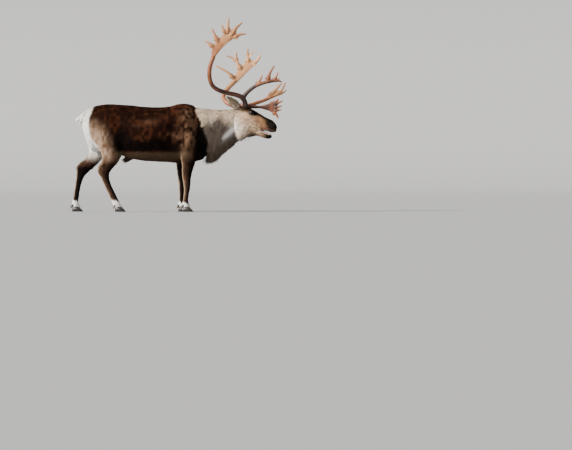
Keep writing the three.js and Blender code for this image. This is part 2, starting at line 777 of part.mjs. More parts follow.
const below = (z) => box([-1500, -600, -60], [1500, 600, z]);
const hindRegion = box([-1500, -600, -60], [STIFLE_X, 600, STIFLE_Z]);
const legRegion = join(below(ELBOW_Z), hindRegion);
const clearOfLegs = join(
  below(ELBOW_Z + GAP),
  box([-1500, -600, -60], [STIFLE_X + GAP, 600, STIFLE_Z + GAP]),
);
const torso = beyond(trunk.subtract(clearOfLegs), NECK_FOOT, reverse(NECK_FOOT_LINE));
place(reindeer, "torso", torso, "brown", [-300, 0, 860]);

const lowerLimbs = trunk.intersect(legRegion);
for (const [name, [table, side]] of Object.entries(legs)) {
  const jointZ = name.startsWith("fore") ? KNEE_Z : HOCK_Z;
  const topZ = name.startsWith("fore") ? ELBOW_Z : STIFLE_Z;
  const isHind = name.startsWith("hind");
  const reach = isHind ? [-1500, -560] : [-200, 400];
  const own = box([reach[0], Math.min(0, side * 600), -60], [reach[1], Math.max(0, side * 600), topZ]);
  const leg = lowerLimbs.intersect(own);
  const top = table.find((row) => row[1] < topZ);
  const hip = groupAt(reindeer, [(top[0] + top[2]) / 2, top[4], topZ]);
  const [upper, lower] = isHind ? ["gaskin", "cannon"] : ["forearm", "cannon"];
  const joint = [(top[0] + top[2]) / 2, top[4], jointZ];
  place(hip, `${name}_${upper}`, beyond(leg, joint, [0, 0, 1]), "leg", joint);
  place(hip, `${name}_${lower}`, beyond(leg, joint, [0, 0, -1]), "leg", joint);
  const flesh = solidOf(ribbed(table, LEG_SIDES, LEG_STEPS, GAP));
  for (const [piece, solid] of foot(name, table, side, flesh)) {
    place(hip, piece, solid, "horn", [joint[0], joint[1], 0]);
  }
}

const TAIL_LOCKS = [
  { angle: 80, from: 0.35, to: 0.95, count: 4, scatter: 25, lie: [-0.92, 0.05, -0.34],
    length: [55, 48], width: 26, thick: 9, sink: 8, rise: 5 },
  { angle: 20, from: 0.35, to: 0.95, count: 4, scatter: 20, lie: [-0.92, 0.1, -0.36],
    length: [55, 40], width: 26, thick: 9, sink: 8, rise: 4 },
  { angle: 160, from: 0.4, to: 0.95, count: 4, scatter: 20, lie: [-0.92, 0.1, -0.36],
    length: [55, 40], width: 26, thick: 9, sink: 8, rise: 4 },
  { angle: 270, from: 0.4, to: 0.95, count: 4, scatter: 25, lie: [-0.9, 0.05, -0.42],
    length: [50, 36], width: 26, thick: 9, sink: 8, rise: 4 },
];
const tail = join(solidOf(ribbed(TAIL, 10, 6)), locksOn(TAIL, TAIL_LOCKS));
const rump = solidOf(ribbed(TORSO, 20, 18, GAP));
place(reindeer, "tail", beyond(tail, TAIL_ROOT, TAIL_LINE).subtract(rump), "white", TAIL_ROOT);

// The mane: rows of locks from the crest down to the long fringe under the throat
const maneRow = (angle, count, length, extra = {}) => ({
  angle,
  count,
  length,
  from: 0.24,
  to: 0.86,
  scatter: 7,
  lie: [-0.3, 0.12, -0.94],
  width: 46,
  thick: 13,
  sink: 14,
  rise: 8,
  ...extra,
});
const MANE = [];
for (const mirror of [(a) => a, (a) => 180 - a]) {
  MANE.push(
    maneRow(mirror(36), 5, [105, 90], { lie: [-0.42, 0.34, -0.86], rise: 4, width: 60 }),
    maneRow(mirror(-6), 5, [115, 90], { rise: 5, width: 60 }),
    maneRow(mirror(-42), 6, [120, 70], { lie: [-0.26, -0.06, -0.96] }),
    maneRow(mirror(-68), 7, [130, 52], { lie: [-0.16, -0.02, -0.98], from: 0.16 }),
  );
}
MANE.push(maneRow(-90, 8, [112, 46], { lie: [-0.14, 0, -0.98], from: 0.16, to: 0.84 }));
const headGroup = groupAt(reindeer, HEAD_PIVOT);
const neckCore = solidOf(ribbed(NECK, 20, 14));
const mane = join(neckCore, locksOn(NECK, MANE));

const eyes = { right: -1, left: 1 };
const lids = Object.values(eyes).map((side) => lidRing(side));
const stumps = Object.values(eyes).map((side) => pedicle(side));
const sockets = Object.values(eyes).map((side) => eyeBall(side, GAP));
const nostrils = Object.values(eyes).map((side) =>
  inHead(ribbed(NOSTRIL, 8, 6).translate(0, side * 37, 0)),
);
const skull = join(skullSolid(), lip(UPPER_LIP, 8), ...lids, ...stumps);
const skullOpen = skull.subtract(join(...sockets, ...nostrils));
const head = beyond(skullOpen, THROAT, THROAT_LINE);
const tongueSolid = (swell) => inHead(ribbed(TONGUE, 10, 7, swell));
const headSkin = join(skullSolid(GAP), ...Object.values(eyes).map((s) => pedicle(s, GAP)));
const lowerJaw = join(inHead(ribbed(JAW, 12, 8)), lip(LOWER_LIP, 6));
const jaw = lowerJaw.subtract(headSkin).subtract(tongueSolid(GAP));
const tongue = tongueSolid(0).subtract(headSkin);
place(headGroup, "head", head, "face", HEAD_PIVOT);
place(headGroup, "lower_jaw", jaw, "face", HEAD_PIVOT);
place(headGroup, "tongue", tongue, "tongue", HEAD_PIVOT);

const neck = beyond(beyond(mane, NECK_FOOT, NECK_FOOT_LINE), THROAT, reverse(THROAT_LINE));
const chest = join(solidOf(ribbed(TORSO, 20, 18, GAP)), solidOf(ribbed(FORELEG_RIGHT, 12, 24, GAP)));
place(reindeer, "neck", neck.subtract(beyond(headSkin, THROAT, THROAT_LINE)), "cream", NECK_FOOT);

const antlerParts = {
  right: {
    rows: RIGHT_BEAM,
    elbow: [[408, -205, 1362], [-0.8, -0.35, 0.5]],
    cut: [[372, -294, 1622], [0.3, 0, 1]],
    palm: [web(RIGHT_PALM, 10), tines(RIGHT_PALM_TINES)],
    bezLine: [BEZ_RIGHT, [19, 17, 16, 15, 15, 14, 13, 11, 7], 7, 14],
    bez: [web(BEZ_RIGHT_WEB, 7), tines(BEZ_RIGHT_TINES)],
    brow: [solidOf(branch(BROW_RIGHT, [18, 15, 14, 13], 7, 5)),
      web(BROW_RIGHT_WEB, 8), tines(BROW_RIGHT_TINES)],
  },
  left: {
    rows: LEFT_BEAM,
    elbow: [[505, 222, 1242], [-0.4, 0.65, 0.65]],
    cut: [[575, 348, 1395], [0.62, 0.3, 0.72]],
    palm: [web(LEFT_PALM, 10), tines(LEFT_PALM_TINES)],
    bezLine: [BEZ_LEFT, [19, 17, 16, 15, 14, 12, 8], 7, 12],
    bez: [web(BEZ_LEFT_WEB, 6), tines(BEZ_LEFT_TINES)],
    brow: [solidOf(branch(BROW_LEFT, [17, 15, 14, 12], 7, 5)),
      web(BROW_LEFT_WEB, 7), tines(BROW_LEFT_TINES)],
  },
};
for (const [word, side] of Object.entries(eyes)) {
  place(headGroup, `eye_${word}`, eyeBall(side), "eye", HEAD_PIVOT);
  const lobe = ear(side).subtract(headSkin).subtract(solidOf(ribbed(NECK, 20, 14, GAP)));
  place(headGroup, `ear_${word}`, lobe, "face", HEAD_PIVOT);
  const parts = antlerParts[word];
  const root = parts.rows[1];
  const antler = groupAt(headGroup, root);
  const stem = beam(parts.rows).subtract(headSkin);
  const crown = join(stem, ...parts.palm.flat());
  const [through, line] = parts.cut;
  const stemClear = beam(parts.rows, GAP);
  const shaft = beyond(stem, through, reverse(line));
  const [bend, bendLine] = parts.elbow;
  place(antler, `antler_${word}_base`, beyond(shaft, bend, reverse(bendLine)), "antler", root);
  place(antler, `antler_${word}_beam`, beyond(shaft, bend, bendLine), "antler", bend);
  const palm = beyond(crown, through, line);
  place(antler, `antler_${word}_palm`, palm, "antler", root);
  const bez = join(solidOf(branch(...parts.bezLine)), ...parts.bez.flat()).subtract(stemClear);
  place(antler, `antler_${word}_bez`, bez.subtract(headSkin), "antler", root);
  const brow = join(...parts.brow.flat()).subtract(stemClear).subtract(headSkin);
  const bezClear = solidOf(branch(...parts.bezLine, GAP));
  place(antler, `antler_${word}_brow`, brow.subtract(bezClear), "antler", root);
}

export default reindeer;
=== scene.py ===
# %% [markdown]
# # A bull reindeer
#
# The object is a full-grown bull caribou in its autumn coat, built like a museum model: one smooth skin,
# a coat of real mesh tufts over it, and separate antlers, hooves and eyes. The solids from the CAD step
# are loaded first. They fix the size and place of everything, so each form here starts from the same
# named measurements, in millimetres, in the animal's own frame: +X ahead, +Y to its left, +Z up.

# %% Load the frame and set the units
import math

import bpy
import numpy as np
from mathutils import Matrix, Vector


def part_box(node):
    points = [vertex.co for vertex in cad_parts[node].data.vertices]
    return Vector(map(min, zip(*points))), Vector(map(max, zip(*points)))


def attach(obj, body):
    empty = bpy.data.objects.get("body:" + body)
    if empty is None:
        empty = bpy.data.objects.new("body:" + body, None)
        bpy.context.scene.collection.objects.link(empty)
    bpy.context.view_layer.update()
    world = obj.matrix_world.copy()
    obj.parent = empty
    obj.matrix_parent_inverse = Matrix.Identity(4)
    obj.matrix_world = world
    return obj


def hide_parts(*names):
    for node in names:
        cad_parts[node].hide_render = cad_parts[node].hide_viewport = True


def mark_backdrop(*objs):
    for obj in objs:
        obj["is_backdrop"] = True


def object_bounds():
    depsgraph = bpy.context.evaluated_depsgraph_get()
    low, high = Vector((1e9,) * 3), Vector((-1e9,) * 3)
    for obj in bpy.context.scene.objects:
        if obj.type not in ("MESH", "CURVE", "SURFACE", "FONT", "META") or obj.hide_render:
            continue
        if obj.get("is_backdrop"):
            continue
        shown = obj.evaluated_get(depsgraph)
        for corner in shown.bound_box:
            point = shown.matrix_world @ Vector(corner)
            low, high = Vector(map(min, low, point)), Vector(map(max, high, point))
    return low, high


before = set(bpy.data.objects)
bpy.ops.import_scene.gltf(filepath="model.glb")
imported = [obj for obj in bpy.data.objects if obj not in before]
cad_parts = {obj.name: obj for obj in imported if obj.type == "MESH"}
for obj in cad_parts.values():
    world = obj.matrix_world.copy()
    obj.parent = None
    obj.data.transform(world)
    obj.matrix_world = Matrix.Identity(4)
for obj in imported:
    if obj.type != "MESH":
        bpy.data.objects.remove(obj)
cad_low, cad_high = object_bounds()
MM = 0.001
HEAD_PIVOT = np.array([665.0, 0.0, 1055.0])
HEAD_TURN = math.radians(8)
HEAD_ROLL = math.radians(12)
print("CAD box", [round(v, 3) for v in (*cad_low, *cad_high)])

# %% [markdown]
# ## Curves through ribs
#
# A sculptor would start from wire ribs and stretch a skin over them. The same can be done with numbers:
# a table row holds a rib's top point, bottom point and half width, and a Catmull-Rom curve joins the rows.
# That is quicker to correct against a photograph than pushing vertices by hand.

# %% Curve and loft helpers


def spline(rows, u, centripetal=True):
    """A Catmull-Rom curve through the rows, at places u from 0 to 1.

    Each stretch is p = b + m1 s + (3(c - b) - 2 m1 - m2) s^2 + (2(b - c) + m1 + m2) s^3.
    The tangents m1 and m2 use the square root of the distance between points, which keeps
    the curve from swinging out where the ribs are unevenly spaced.
    """
    p = np.asarray(rows, float)
    ends = np.vstack([2 * p[0] - p[1], p, 2 * p[-1] - p[-2]])
    place = np.clip(u, 0, 1) * (len(p) - 1)
    i = np.minimum(place.astype(int), len(p) - 2)
    s = (place - i)[:, None]
    a, b, c, d = ends[i], ends[i + 1], ends[i + 2], ends[i + 3]

    def gap(v, w):
        far = np.linalg.norm(w - v, axis=1, keepdims=True) ** 0.5
        return np.maximum(far, 1e-4) if centripetal else np.ones_like(far)

    d0, d1, d2 = gap(a, b), gap(b, c), gap(c, d)
    m1 = ((b - a) / d0 - (c - a) / (d0 + d1) + (c - b) / d1) * d1
    m2 = ((c - b) / d1 - (d - b) / (d1 + d2) + (d - c) / d2) * d1
    return b + m1 * s + (3 * (c - b) - 2 * m1 - m2) * s**2 + (2 * (b - c) + m1 + m2) * s**3


def unit(v):
    return v / np.maximum(np.linalg.norm(v, axis=-1, keepdims=True), 1e-9)


def wall_triangles(count, sides, closed=False):
    """Triangles between neighbouring rings of points; closed joins the last ring to the first."""
    i, j = np.meshgrid(np.arange(count if closed else count - 1), np.arange(sides), indexing="ij")
    k, above = (j + 1) % sides, (i + 1) % count
    a, b, c, d = i * sides + j, i * sides + k, above * sides + j, above * sides + k
    return np.concatenate([np.stack([a, b, c], -1), np.stack([b, d, c], -1)]).reshape(-1, 3)


def ring_triangles(count, sides):
    """Triangles of a closed tube of rings whose last two points are its poles."""
    j = np.arange(sides)
    k = (j + 1) % sides
    near = np.stack([np.full(sides, count * sides), k, j], -1)
    last = (count - 1) * sides
    far = np.stack([np.full(sides, count * sides + 1), last + j, last + k], -1)
    return np.concatenate([wall_triangles(count, sides), near, far])


def faced_out(points, triangles):
    """The same closed form with its faces turned outwards: the signed volume must be positive."""
    a, b, c = (points[triangles[:, n]] for n in range(3))
    volume = np.einsum("ij,ij->i", a, np.cross(b, c)).sum()
    return points, triangles if volume > 0 else triangles[:, ::-1]


def padded(rows):
    """Rib rows filled up to topX, topZ, bottomX, bottomZ, y, half, squareness, lean."""
    defaults = [0, 0, 0, 0, 0, 0, 2, 0]
    return np.array([list(row) + defaults[len(row) :] for row in rows], float)


def ribbed(rows, sides, steps, inset=0.0):
    """The skin over a table of ribs, drawn in by inset, which may be one number or one a rib."""
    table = padded(rows)
    u = np.linspace(0, 1, steps + 1)
    top = spline(table[:, [0, 4, 1]], u)
    bottom = spline(table[:, [2, 4, 3]], u)
    half, full, lean = spline(table[:, 5:8], u, centripetal=False).T
    depth = np.interp(u, np.linspace(0, 1, len(table)), np.broadcast_to(inset, len(table)))
    angle = np.arange(sides) / sides * 2 * np.pi
    cos, sin = np.cos(angle)[None], np.sin(angle)[None]

    def rounded(v):
        return np.sign(v) * np.abs(v) ** (2 / full[:, None])

    up = top - bottom
    rise = np.linalg.norm(up, axis=1) / 2 - depth
    across = rounded(cos) * np.maximum(half - depth, 1)[:, None] * (1 + lean[:, None] * sin)
    centre = (top + bottom) / 2
    ring = centre[:, None] + unit(up)[:, None] * (np.maximum(rise, 1)[:, None] * rounded(sin))[..., None]
    ring[..., 1] += across
    domes = []
    for end, inner in ((0, 1), (-1, -2)):
        out = unit(centre[end] - centre[inner])
        domes.append(centre[end] + out * (0.3 * half[end] - depth[end]))
    points = np.vstack([ring.reshape(-1, 3), domes])
    return faced_out(points, ring_triangles(steps + 1, sides))


def branch(rows, radii, sides, steps, flat=None, grow=0.0):
    """A round branch along the rows. flat = (share, axis) thins it along that axis."""
    u = np.linspace(0, 1, steps + 1)
    line = spline(rows, u)
    length = np.concatenate([[0], np.cumsum(np.linalg.norm(np.diff(line, axis=0), axis=1))])
    even = np.interp(np.linspace(0, length[-1], steps + 1), length, u)
    line = spline(rows, even)
    radius = np.interp(even, np.linspace(0, 1, len(radii)), radii) + grow
    tangent = unit(np.gradient(line, axis=0))
    side = unit(np.cross(tangent, [0.31, 0.9, 0.3]))
    over = np.cross(tangent, side)
    angle = np.arange(sides) / sides * 2 * np.pi
    offset = side[:, None] * np.cos(angle)[None, :, None] + over[:, None] * np.sin(angle)[None, :, None]
    offset *= radius[:, None, None]
    if flat:
        share, axis = flat
        axis = unit(np.array(axis, float))
        offset -= (offset @ axis)[..., None] * axis * (1 - share)
    points = (line[:, None] + offset).reshape(-1, 3)
    poles = [line[0] - tangent[0] * 0.5, line[-1] + tangent[-1] * radius[-1] * 0.8]
    return faced_out(np.vstack([points, poles]), ring_triangles(steps + 1, sides))


def stacked(parts):
    """Several meshes as one list of points and one of triangles."""
    starts = np.cumsum([0] + [len(p) for p, _ in parts[:-1]])
    return np.vstack([p for p, _ in parts]), np.vstack([t + s for (_, t), s in zip(parts, starts)])


# %% [markdown]
# ## Turning the head
#
# The bull has turned its muzzle a little towards the camera and tipped its crown away. Every form of the
# head is laid out straight, where left and right mirror each other, and turned as one at the end.

# %% The head's turn


def rotation(axis, angle):
    c, s = math.cos(angle), math.sin(angle)
    turned = {"x": [[1, 0, 0], [0, c, -s], [0, s, c]], "z": [[c, -s, 0], [s, c, 0], [0, 0, 1]]}
    return np.array(turned[axis], float)


HEAD_MATRIX = rotation("z", -HEAD_TURN) @ rotation("x", -HEAD_ROLL)


def head_turned(points):
    return (points - HEAD_PIVOT) @ HEAD_MATRIX.T + HEAD_PIVOT


def head_straight(points):
    return (points - HEAD_PIVOT) @ HEAD_MATRIX + HEAD_PIVOT


def in_head(part):
    return head_turned(part[0]), part[1]


EYE_RADIUS = 18.0
EYE = np.array([815.0, 69.0, 1074.0])  # the left one, before the head is turned
SIDES = {"right": -1, "left": 1}
eye_low, eye_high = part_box("eye_right")
packed_eye = (np.array(eye_low) + np.array(eye_high)) / 2 / MM
CENTRE_SHIFT = packed_eye - head_turned(EYE * [1, -1, 1])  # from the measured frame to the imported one
print("packed frame lies", CENTRE_SHIFT.round(1), "mm from the measured one")


def placed(points):
    """From millimetres in the animal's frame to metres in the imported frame."""
    return (points + CENTRE_SHIFT) * MM


def measured(points):
    return points / MM - CENTRE_SHIFT


# %% [markdown]
# ## Trunk and legs
#
# A caribou has a deep chest, a level back and long thin legs that widen at knee and hock. Such a body could
# be sculpted freely, but ribs in a table keep what was measured: each row is one station, and the same
# helper turns every table into a closed form.

# %% Rib tables of trunk and limbs
# topX, topZ, bottomX, bottomZ, y, half width, squareness, lean
TORSO = [
    [-1040, 985, -1030, 900, 0, 45],  # the back of the buttocks
    [-1015, 1085, -1005, 790, 0, 120],
    [-965, 1135, -955, 690, 0, 158],
    [-890, 1170, -865, 655, 0, 190, 2.1, 0.08],  # hips
    [-780, 1185, -745, 640, 0, 208, 2.2, 0.05],
    [-655, 1185, -625, 620, 0, 215, 2.2, 0],  # loin and flank
    [-525, 1175, -505, 580, 0, 232, 2.2, -0.06],
    [-370, 1160, -360, 555, 0, 246, 2.2, -0.1],  # belly
    [-215, 1155, -215, 545, 0, 244, 2.2, -0.08],
    [-85, 1165, -85, 541, 0, 226, 2.2, -0.04],
    [25, 1190, 25, 534, 0, 204, 2.1, 0],  # withers and girth
    [125, 1185, 145, 538, 0, 182, 2.1, 0],
    [210, 1145, 255, 572, 0, 160],
    [265, 1085, 315, 622, 0, 125],
    [300, 965, 335, 700, 0, 80],  # point of the chest, inside the neck
]
NECK = [
    [225, 1145, 235, 640, 0, 150, 2.1, 0.05],
    [310, 1135, 340, 622, 0, 136, 2.1, 0.2],
    [400, 1125, 430, 640, 0, 122, 2, 0.25],
    [485, 1124, 520, 698, 0, 112, 2, 0.2],
    [575, 1126, 610, 758, 0, 102, 2, 0.1],
    [640, 1132, 675, 812, 0, 96],
    [715, 1122, 735, 838, 0, 84],  # inside the head
]
TAIL = [
    [-895, 1135, -905, 1035, 0, 40],
    [-945, 1128, -955, 1030, 0, 38],
    [-1000, 1106, -1000, 1036, 0, 34],
    [-1045, 1078, -1042, 1030, 0, 27],
    [-1078, 1050, -1074, 1016, 0, 16],
]
SHEATH = [
    [-470, 640, -480, 570, 0, 60],
    [-520, 640, -535, 560, 0, 44],
    [-565, 620, -580, 568, 0, 26],
    [-590, 600, -595, 582, 0, 9],
]

# %% [markdown]
# A leg is read from shoulder or hip down. Its rows hold the front and back edge in place of top and bottom,
# so the widening at knee, hock and fetlock comes straight from the side view.

# %% Rib tables of the limbs
FORELEG_RIGHT = [
    [104, 1130, 0, 1130, -64, 42],  # shoulder blade
    [166, 1035, 4, 1030, -112, 56],
    [214, 915, 20, 912, -134, 66],
    [212, 785, 20, 770, -140, 66],
    [205, 655, 30, 635, -134, 60],
    [195, 535, 44, 530, -124, 47],
    [170, 450, 46, 445, -120, 39],
    [155, 370, 50, 370, -118, 32],
    [147, 295, 63, 298, -117, 31],
    [143, 250, 68, 250, -117, 31],  # knee
    [129, 190, 66, 185, -117, 24],
    [124, 125, 57, 120, -117, 24],
    [131, 78, 50, 72, -117, 29],  # fetlock
    [136, 45, 62, 38, -117, 27],
    [138, 30, 72, 26, -117, 20],  # inside the hoof
]
FORELEG_LEFT = [
    [84, 1130, -20, 1130, 64, 42],
    [136, 1035, -26, 1030, 112, 56],
    [176, 915, -18, 912, 134, 66],
    [172, 785, -20, 770, 140, 66],
    [155, 655, -24, 635, 134, 60],
    [125, 535, -20, 530, 124, 46],
    [104, 450, -14, 445, 120, 38],
    [90, 370, -6, 370, 118, 32],
    [84, 290, 4, 290, 117, 31],
    [78, 245, 7, 245, 117, 31],
    [69, 190, 9, 187, 117, 24],
    [68, 130, 6, 126, 117, 24],
    [76, 78, -2, 72, 117, 29],
    [82, 45, 8, 38, 117, 27],
    [84, 30, 18, 26, 117, 20],
]
HIND_LEG_RIGHT = [
    [-720, 1130, -930, 1110, -70, 50],  # hip
    [-662, 1010, -985, 1000, -116, 72],
    [-600, 880, -1003, 880, -127, 88],
    [-556, 745, -915, 755, -130, 82],
    [-596, 640, -840, 655, -130, 64],
    [-655, 545, -830, 575, -130, 50],
    [-715, 465, -872, 492, -130, 39],
    [-742, 415, -879, 446, -130, 36],  # point of the hock
    [-742, 365, -842, 378, -130, 33],
    [-722, 300, -812, 305, -130, 27],
    [-690, 230, -775, 228, -130, 26],
    [-652, 150, -737, 145, -130, 26],
    [-622, 88, -708, 80, -130, 30],  # fetlock
    [-602, 48, -684, 40, -130, 27],
    [-596, 32, -664, 28, -130, 20],
]
HIND_LEG_LEFT = [
    [-740, 1130, -940, 1110, 70, 50],
    [-690, 1010, -1003, 1000, 116, 72],
    [-672, 880, -1025, 880, 127, 88],
    [-725, 745, -995, 745, 130, 80],
    [-785, 655, -985, 665, 130, 64],
    [-850, 570, -1015, 600, 130, 48],
    [-915, 500, -1072, 548, 130, 40],
    [-972, 450, -1118, 500, 130, 36],
    [-1018, 405, -1122, 440, 130, 33],
    [-1050, 345, -1130, 362, 130, 28],
    [-1073, 265, -1142, 275, 130, 26],
    [-1088, 180, -1156, 182, 130, 26],
    [-1096, 112, -1172, 105, 130, 30],
    [-1086, 60, -1166, 48, 130, 27],
    [-1078, 34, -1150, 28, 130, 20],
]
LEGS = {
    "foreleg_right": (FORELEG_RIGHT, -1),
    "foreleg_left": (FORELEG_LEFT, 1),
    "hindleg_right": (HIND_LEG_RIGHT, -1),
    "hindleg_left": (HIND_LEG_LEFT, 1),
}

# %% [markdown]
# The head is long and blunt, with a straight nose and a mouth set low. Skull and lower jaw get tables of
# their own, so that the mouth can stay a little open, and the lips are thin rolls laid along their edges.

# %% Rib tables of the head, before it is turned
SKULL = [
    [600, 1085, 610, 950, 0, 62],
    [665, 1132, 680, 845, 0, 86],
    [730, 1150, 748, 812, 0, 94, 2.1, 0.05],
    [795, 1138, 808, 816, 0, 92, 2.2, 0.1],  # across the eyes
    [860, 1108, 868, 832, 0, 76, 2.2, 0.04],
    [915, 1075, 905, 872, 0, 61, 2.3],
    [968, 1042, 958, 892, 0, 52, 2.4],
    [1018, 1018, 1004, 887, 0, 50, 2.5],
    [1058, 994, 1044, 878, 0, 51, 2.6, -0.05],  # nose
    [1088, 962, 1078, 882, 0, 43, 2.5],
    [1101, 932, 1096, 906, 0, 21],
]
JAW = [
    [862, 912, 850, 834, 0, 46],
    [918, 888, 908, 821, 0, 41],
    [966, 866, 962, 803, 0, 34, 2.3],
    [1008, 848, 1008, 795, 0, 32, 2.4],
    [1034, 839, 1036, 803, 0, 27, 2.3],
    [1046, 828, 1047, 813, 0, 12],
]
TONGUE = [
    [885, 900, 880, 872, 0, 14],
    [930, 889, 925, 866, 0, 19, 2.3],
    [975, 872, 972, 852, 0, 19, 2.3],
    [1012, 858, 1010, 841, 0, 15],
    [1024, 850, 1022, 842, 0, 6],
]
UPPER_LIP = [
    [900, -47, 890],
    [958, -40, 895],
    [1004, -37, 889],
    [1044, -36, 881],
    [1078, -25, 885],
    [1092, 0, 892],
]
LOWER_LIP = [
    [905, -34, 882],
    [966, -27, 861],
    [1008, -25, 844],
    [1030, -18, 836],
    [1041, 0, 830],
]
NOSTRIL = np.array([1074.0, 34.0, 955.0])

# %% [markdown]
# ## One skin
#
# Flesh has no seams, so trunk, neck, limbs and head have to read as one surface. The lofts overlap like
# lumps of clay, and a voxel remesh melts them together. The head gets finer voxels than the trunk, and
# both are joined by a Boolean under the ruff of the neck, where the coat is longest.

# %% Meshes from arrays


def mesh_object(name, points, faces):
    """A mesh object from metres and triangles or quads, filled with whole arrays."""
    faces = np.asarray(faces, np.int32)
    mesh = bpy.data.meshes.new(name)
    mesh.vertices.add(len(points))
    mesh.vertices.foreach_set("co", np.asarray(points, np.float32).ravel())
    mesh.loops.add(faces.size)
    mesh.loops.foreach_set("vertex_index", faces.ravel())
    mesh.polygons.add(len(faces))
    mesh.polygons.foreach_set("loop_start", np.arange(0, faces.size, faces.shape[1], dtype=np.int32))
    mesh.update(calc_edges=True)
    mesh.polygons.foreach_set("use_smooth", np.ones(len(faces), bool))
    obj = bpy.data.objects.new(name, mesh)
    bpy.context.scene.collection.objects.link(obj)
    return obj


def applied(obj):
    """Replaces the object's mesh by what its modifiers make of it."""
    graph = bpy.context.evaluated_depsgraph_get()
    mesh = bpy.data.meshes.new_from_object(obj.evaluated_get(graph))
    obj.modifiers.clear()
    obj.data = mesh
    return obj


def melted(name, parts, voxel):
    """Closed forms that overlap, melted into one skin with voxels of that size in millimetres."""
    points, triangles = stacked(parts)
    obj = mesh_object(name, placed(points), triangles)
    fuse = obj.modifiers.new("Melt", "REMESH")
    fuse.mode = "VOXEL"
    fuse.voxel_size = voxel * MM
    return applied(obj)


def read(items, field, width, kind=np.float32):
    """One field of every item of a mesh collection, as the rows of an array."""
    values = np.empty(len(items) * width, kind)
    items.foreach_get(field, values)
    return values.reshape(-1, width)


def points_of(obj):
    return read(obj.data.vertices, "co", 3).astype(float)


def set_points(obj, points):
    obj.data.vertices.foreach_set("co", np.asarray(points, np.float32).ravel())
    obj.data.update()


def normals_of(obj):
    return read(obj.data.vertex_normals, "vector", 3).astype(float)


def edges_of(obj):
    return read(obj.data.edges, "vertices", 2, np.int32)


def relaxed(points, edges, steps, weight=1.0):
    """Smooths by moving each point to the mean of its neighbours and most of the way back.

    The two factors, 0.5 and -0.52, take out ripples without letting the form shrink.
    """
    count = len(points)
    first, second = edges.T
    degree = np.maximum(np.bincount(edges.ravel(), minlength=count), 1)[:, None]
    points = points.copy()
    for step in range(2 * steps):
        mean = np.empty_like(points)
        for axis in range(3):
            mean[:, axis] = np.bincount(first, points[second, axis], count)
            mean[:, axis] += np.bincount(second, points[first, axis], count)
        factor = 0.5 if step % 2 == 0 else -0.52
        points += factor * weight * (mean / degree - points)
    return points


def ramp(v, low, high):
    """0 below low, 1 above high and s^2 (3 - 2 s) between."""
    s = np.clip((v - low) / (high - low), 0, 1)
    return s * s * (3 - 2 * s)


def blob(p, centre, size):
    """A soft ball of influence, exp(-d^2), with d measured in units of size along each axis."""
    d = (p - np.array(centre, float)) / np.array(size, float)
    return np.exp(-(d * d).sum(1))


# %% [markdown]
# The coat has depth: hair stands 12 mm off the flank but only 2 or 3 mm off the shin and the nose. The
# skin is drawn in by that much, so that the tips of the hair, not the skin, reach the outline of the solids.

# %% Trunk, neck, tail and legs
TRUNK_COAT = 12
leg_inset = np.interp(np.arange(15), [0, 3, 5, 8, 14], [TRUNK_COAT, 11, 7, 4, 3])
body_parts = [
    ribbed(TORSO, 64, 90, TRUNK_COAT),
    ribbed(NECK, 56, 60, 10),
    ribbed(TAIL, 24, 24, [9, 9, 9, 7, 4]),
    ribbed(SHEATH, 24, 16, [12, 10, 6, 3]),
]
body_parts += [ribbed(table, 40, 90, leg_inset) for table, _ in LEGS.values()]
BODY_VOXEL = 10.5
body = melted("skin", body_parts, BODY_VOXEL)
print("body", len(body.data.vertices), "points")

# %% [markdown]
# An ear is gristle, thin as card and rolled into a tube at its root. A flat plane would look cut out, so
# each cross-section here is an arc that opens from root to tip, with an inner wall behind the outer one.
# That makes the ear a closed solid, which a voxel remesh keeps.

# %% Ears: a thin cupped leaf, swept along a line and rolled at its root
EAR_LENGTH = 165
EAR_LINES = {
    -1: ([698, -62, 1118], [-0.7, -0.3, 0.65], [-0.5, -0.86, -0.1]),
    1: ([700, 72, 1086], [-0.5, 0.82, -0.3], [-0.8, -0.35, 0.2]),
}
EAR_STATIONS = [0, 0.12, 0.3, 0.5, 0.7, 0.86, 1]
EAR_HALF = [15, 22, 33, 37, 31, 19, 3]  # half width
EAR_CUP = [2.6, 2.3, 1.9, 1.6, 1.4, 1.2, 1.0]  # how far each side curls round, in radians


def ear(side):
    """A closed leaf: an outer wall and an inner one about 5 mm apart that meet at the rims."""
    root, along, hollow = (np.array(v, float) for v in EAR_LINES[side])
    along = unit(along)
    edge = unit(np.cross(along, hollow))
    hollow = np.cross(edge, along)
    steps, half_sides = 40, 18
    u = np.linspace(0, 1, steps + 1)
    half = np.interp(u, EAR_STATIONS, EAR_HALF)
    half = np.convolve(np.pad(half, 2, "edge"), np.ones(5) / 5, "valid")
    curl = np.interp(u, EAR_STATIONS, EAR_CUP)
    swing = np.concatenate([np.linspace(-1, 1, half_sides), np.linspace(1, -1, half_sides)[1:-1]])
    inner = np.concatenate([np.zeros(half_sides), np.ones(half_sides - 2)])
    wall = (5.0 - 1.5 * u)[:, None] * inner[None]
    radius = half / np.maximum(np.sin(np.minimum(curl, np.pi / 2)), 0.2)
    angle = curl[:, None] * swing[None]
    radial = radius[:, None] - wall
    sideways = radial * np.sin(angle)
    depth = -(radial * np.cos(angle) - radius[:, None] * np.cos(curl)[:, None])
    bend = 10 * np.sin(u * np.pi)[:, None]
    at = root + along * (u * EAR_LENGTH)[:, None]
    ring = at[:, None] + edge * sideways[..., None] + hollow * (depth + bend)[..., None]
    poles = [at[0] - along * 2, at[-1] + along * 2]
    points = np.vstack([ring.reshape(-1, 3), poles])
    return faced_out(points, ring_triangles(steps + 1, ring.shape[1]))


# %% [markdown]
# Skull, jaw, lips, brow ridges, antler stumps and ears overlap and are melted as the trunk was. The voxels
# are about a third as wide, because lips and ear rims are small forms.

# %% Head with jaw, lips, brow and antler stumps


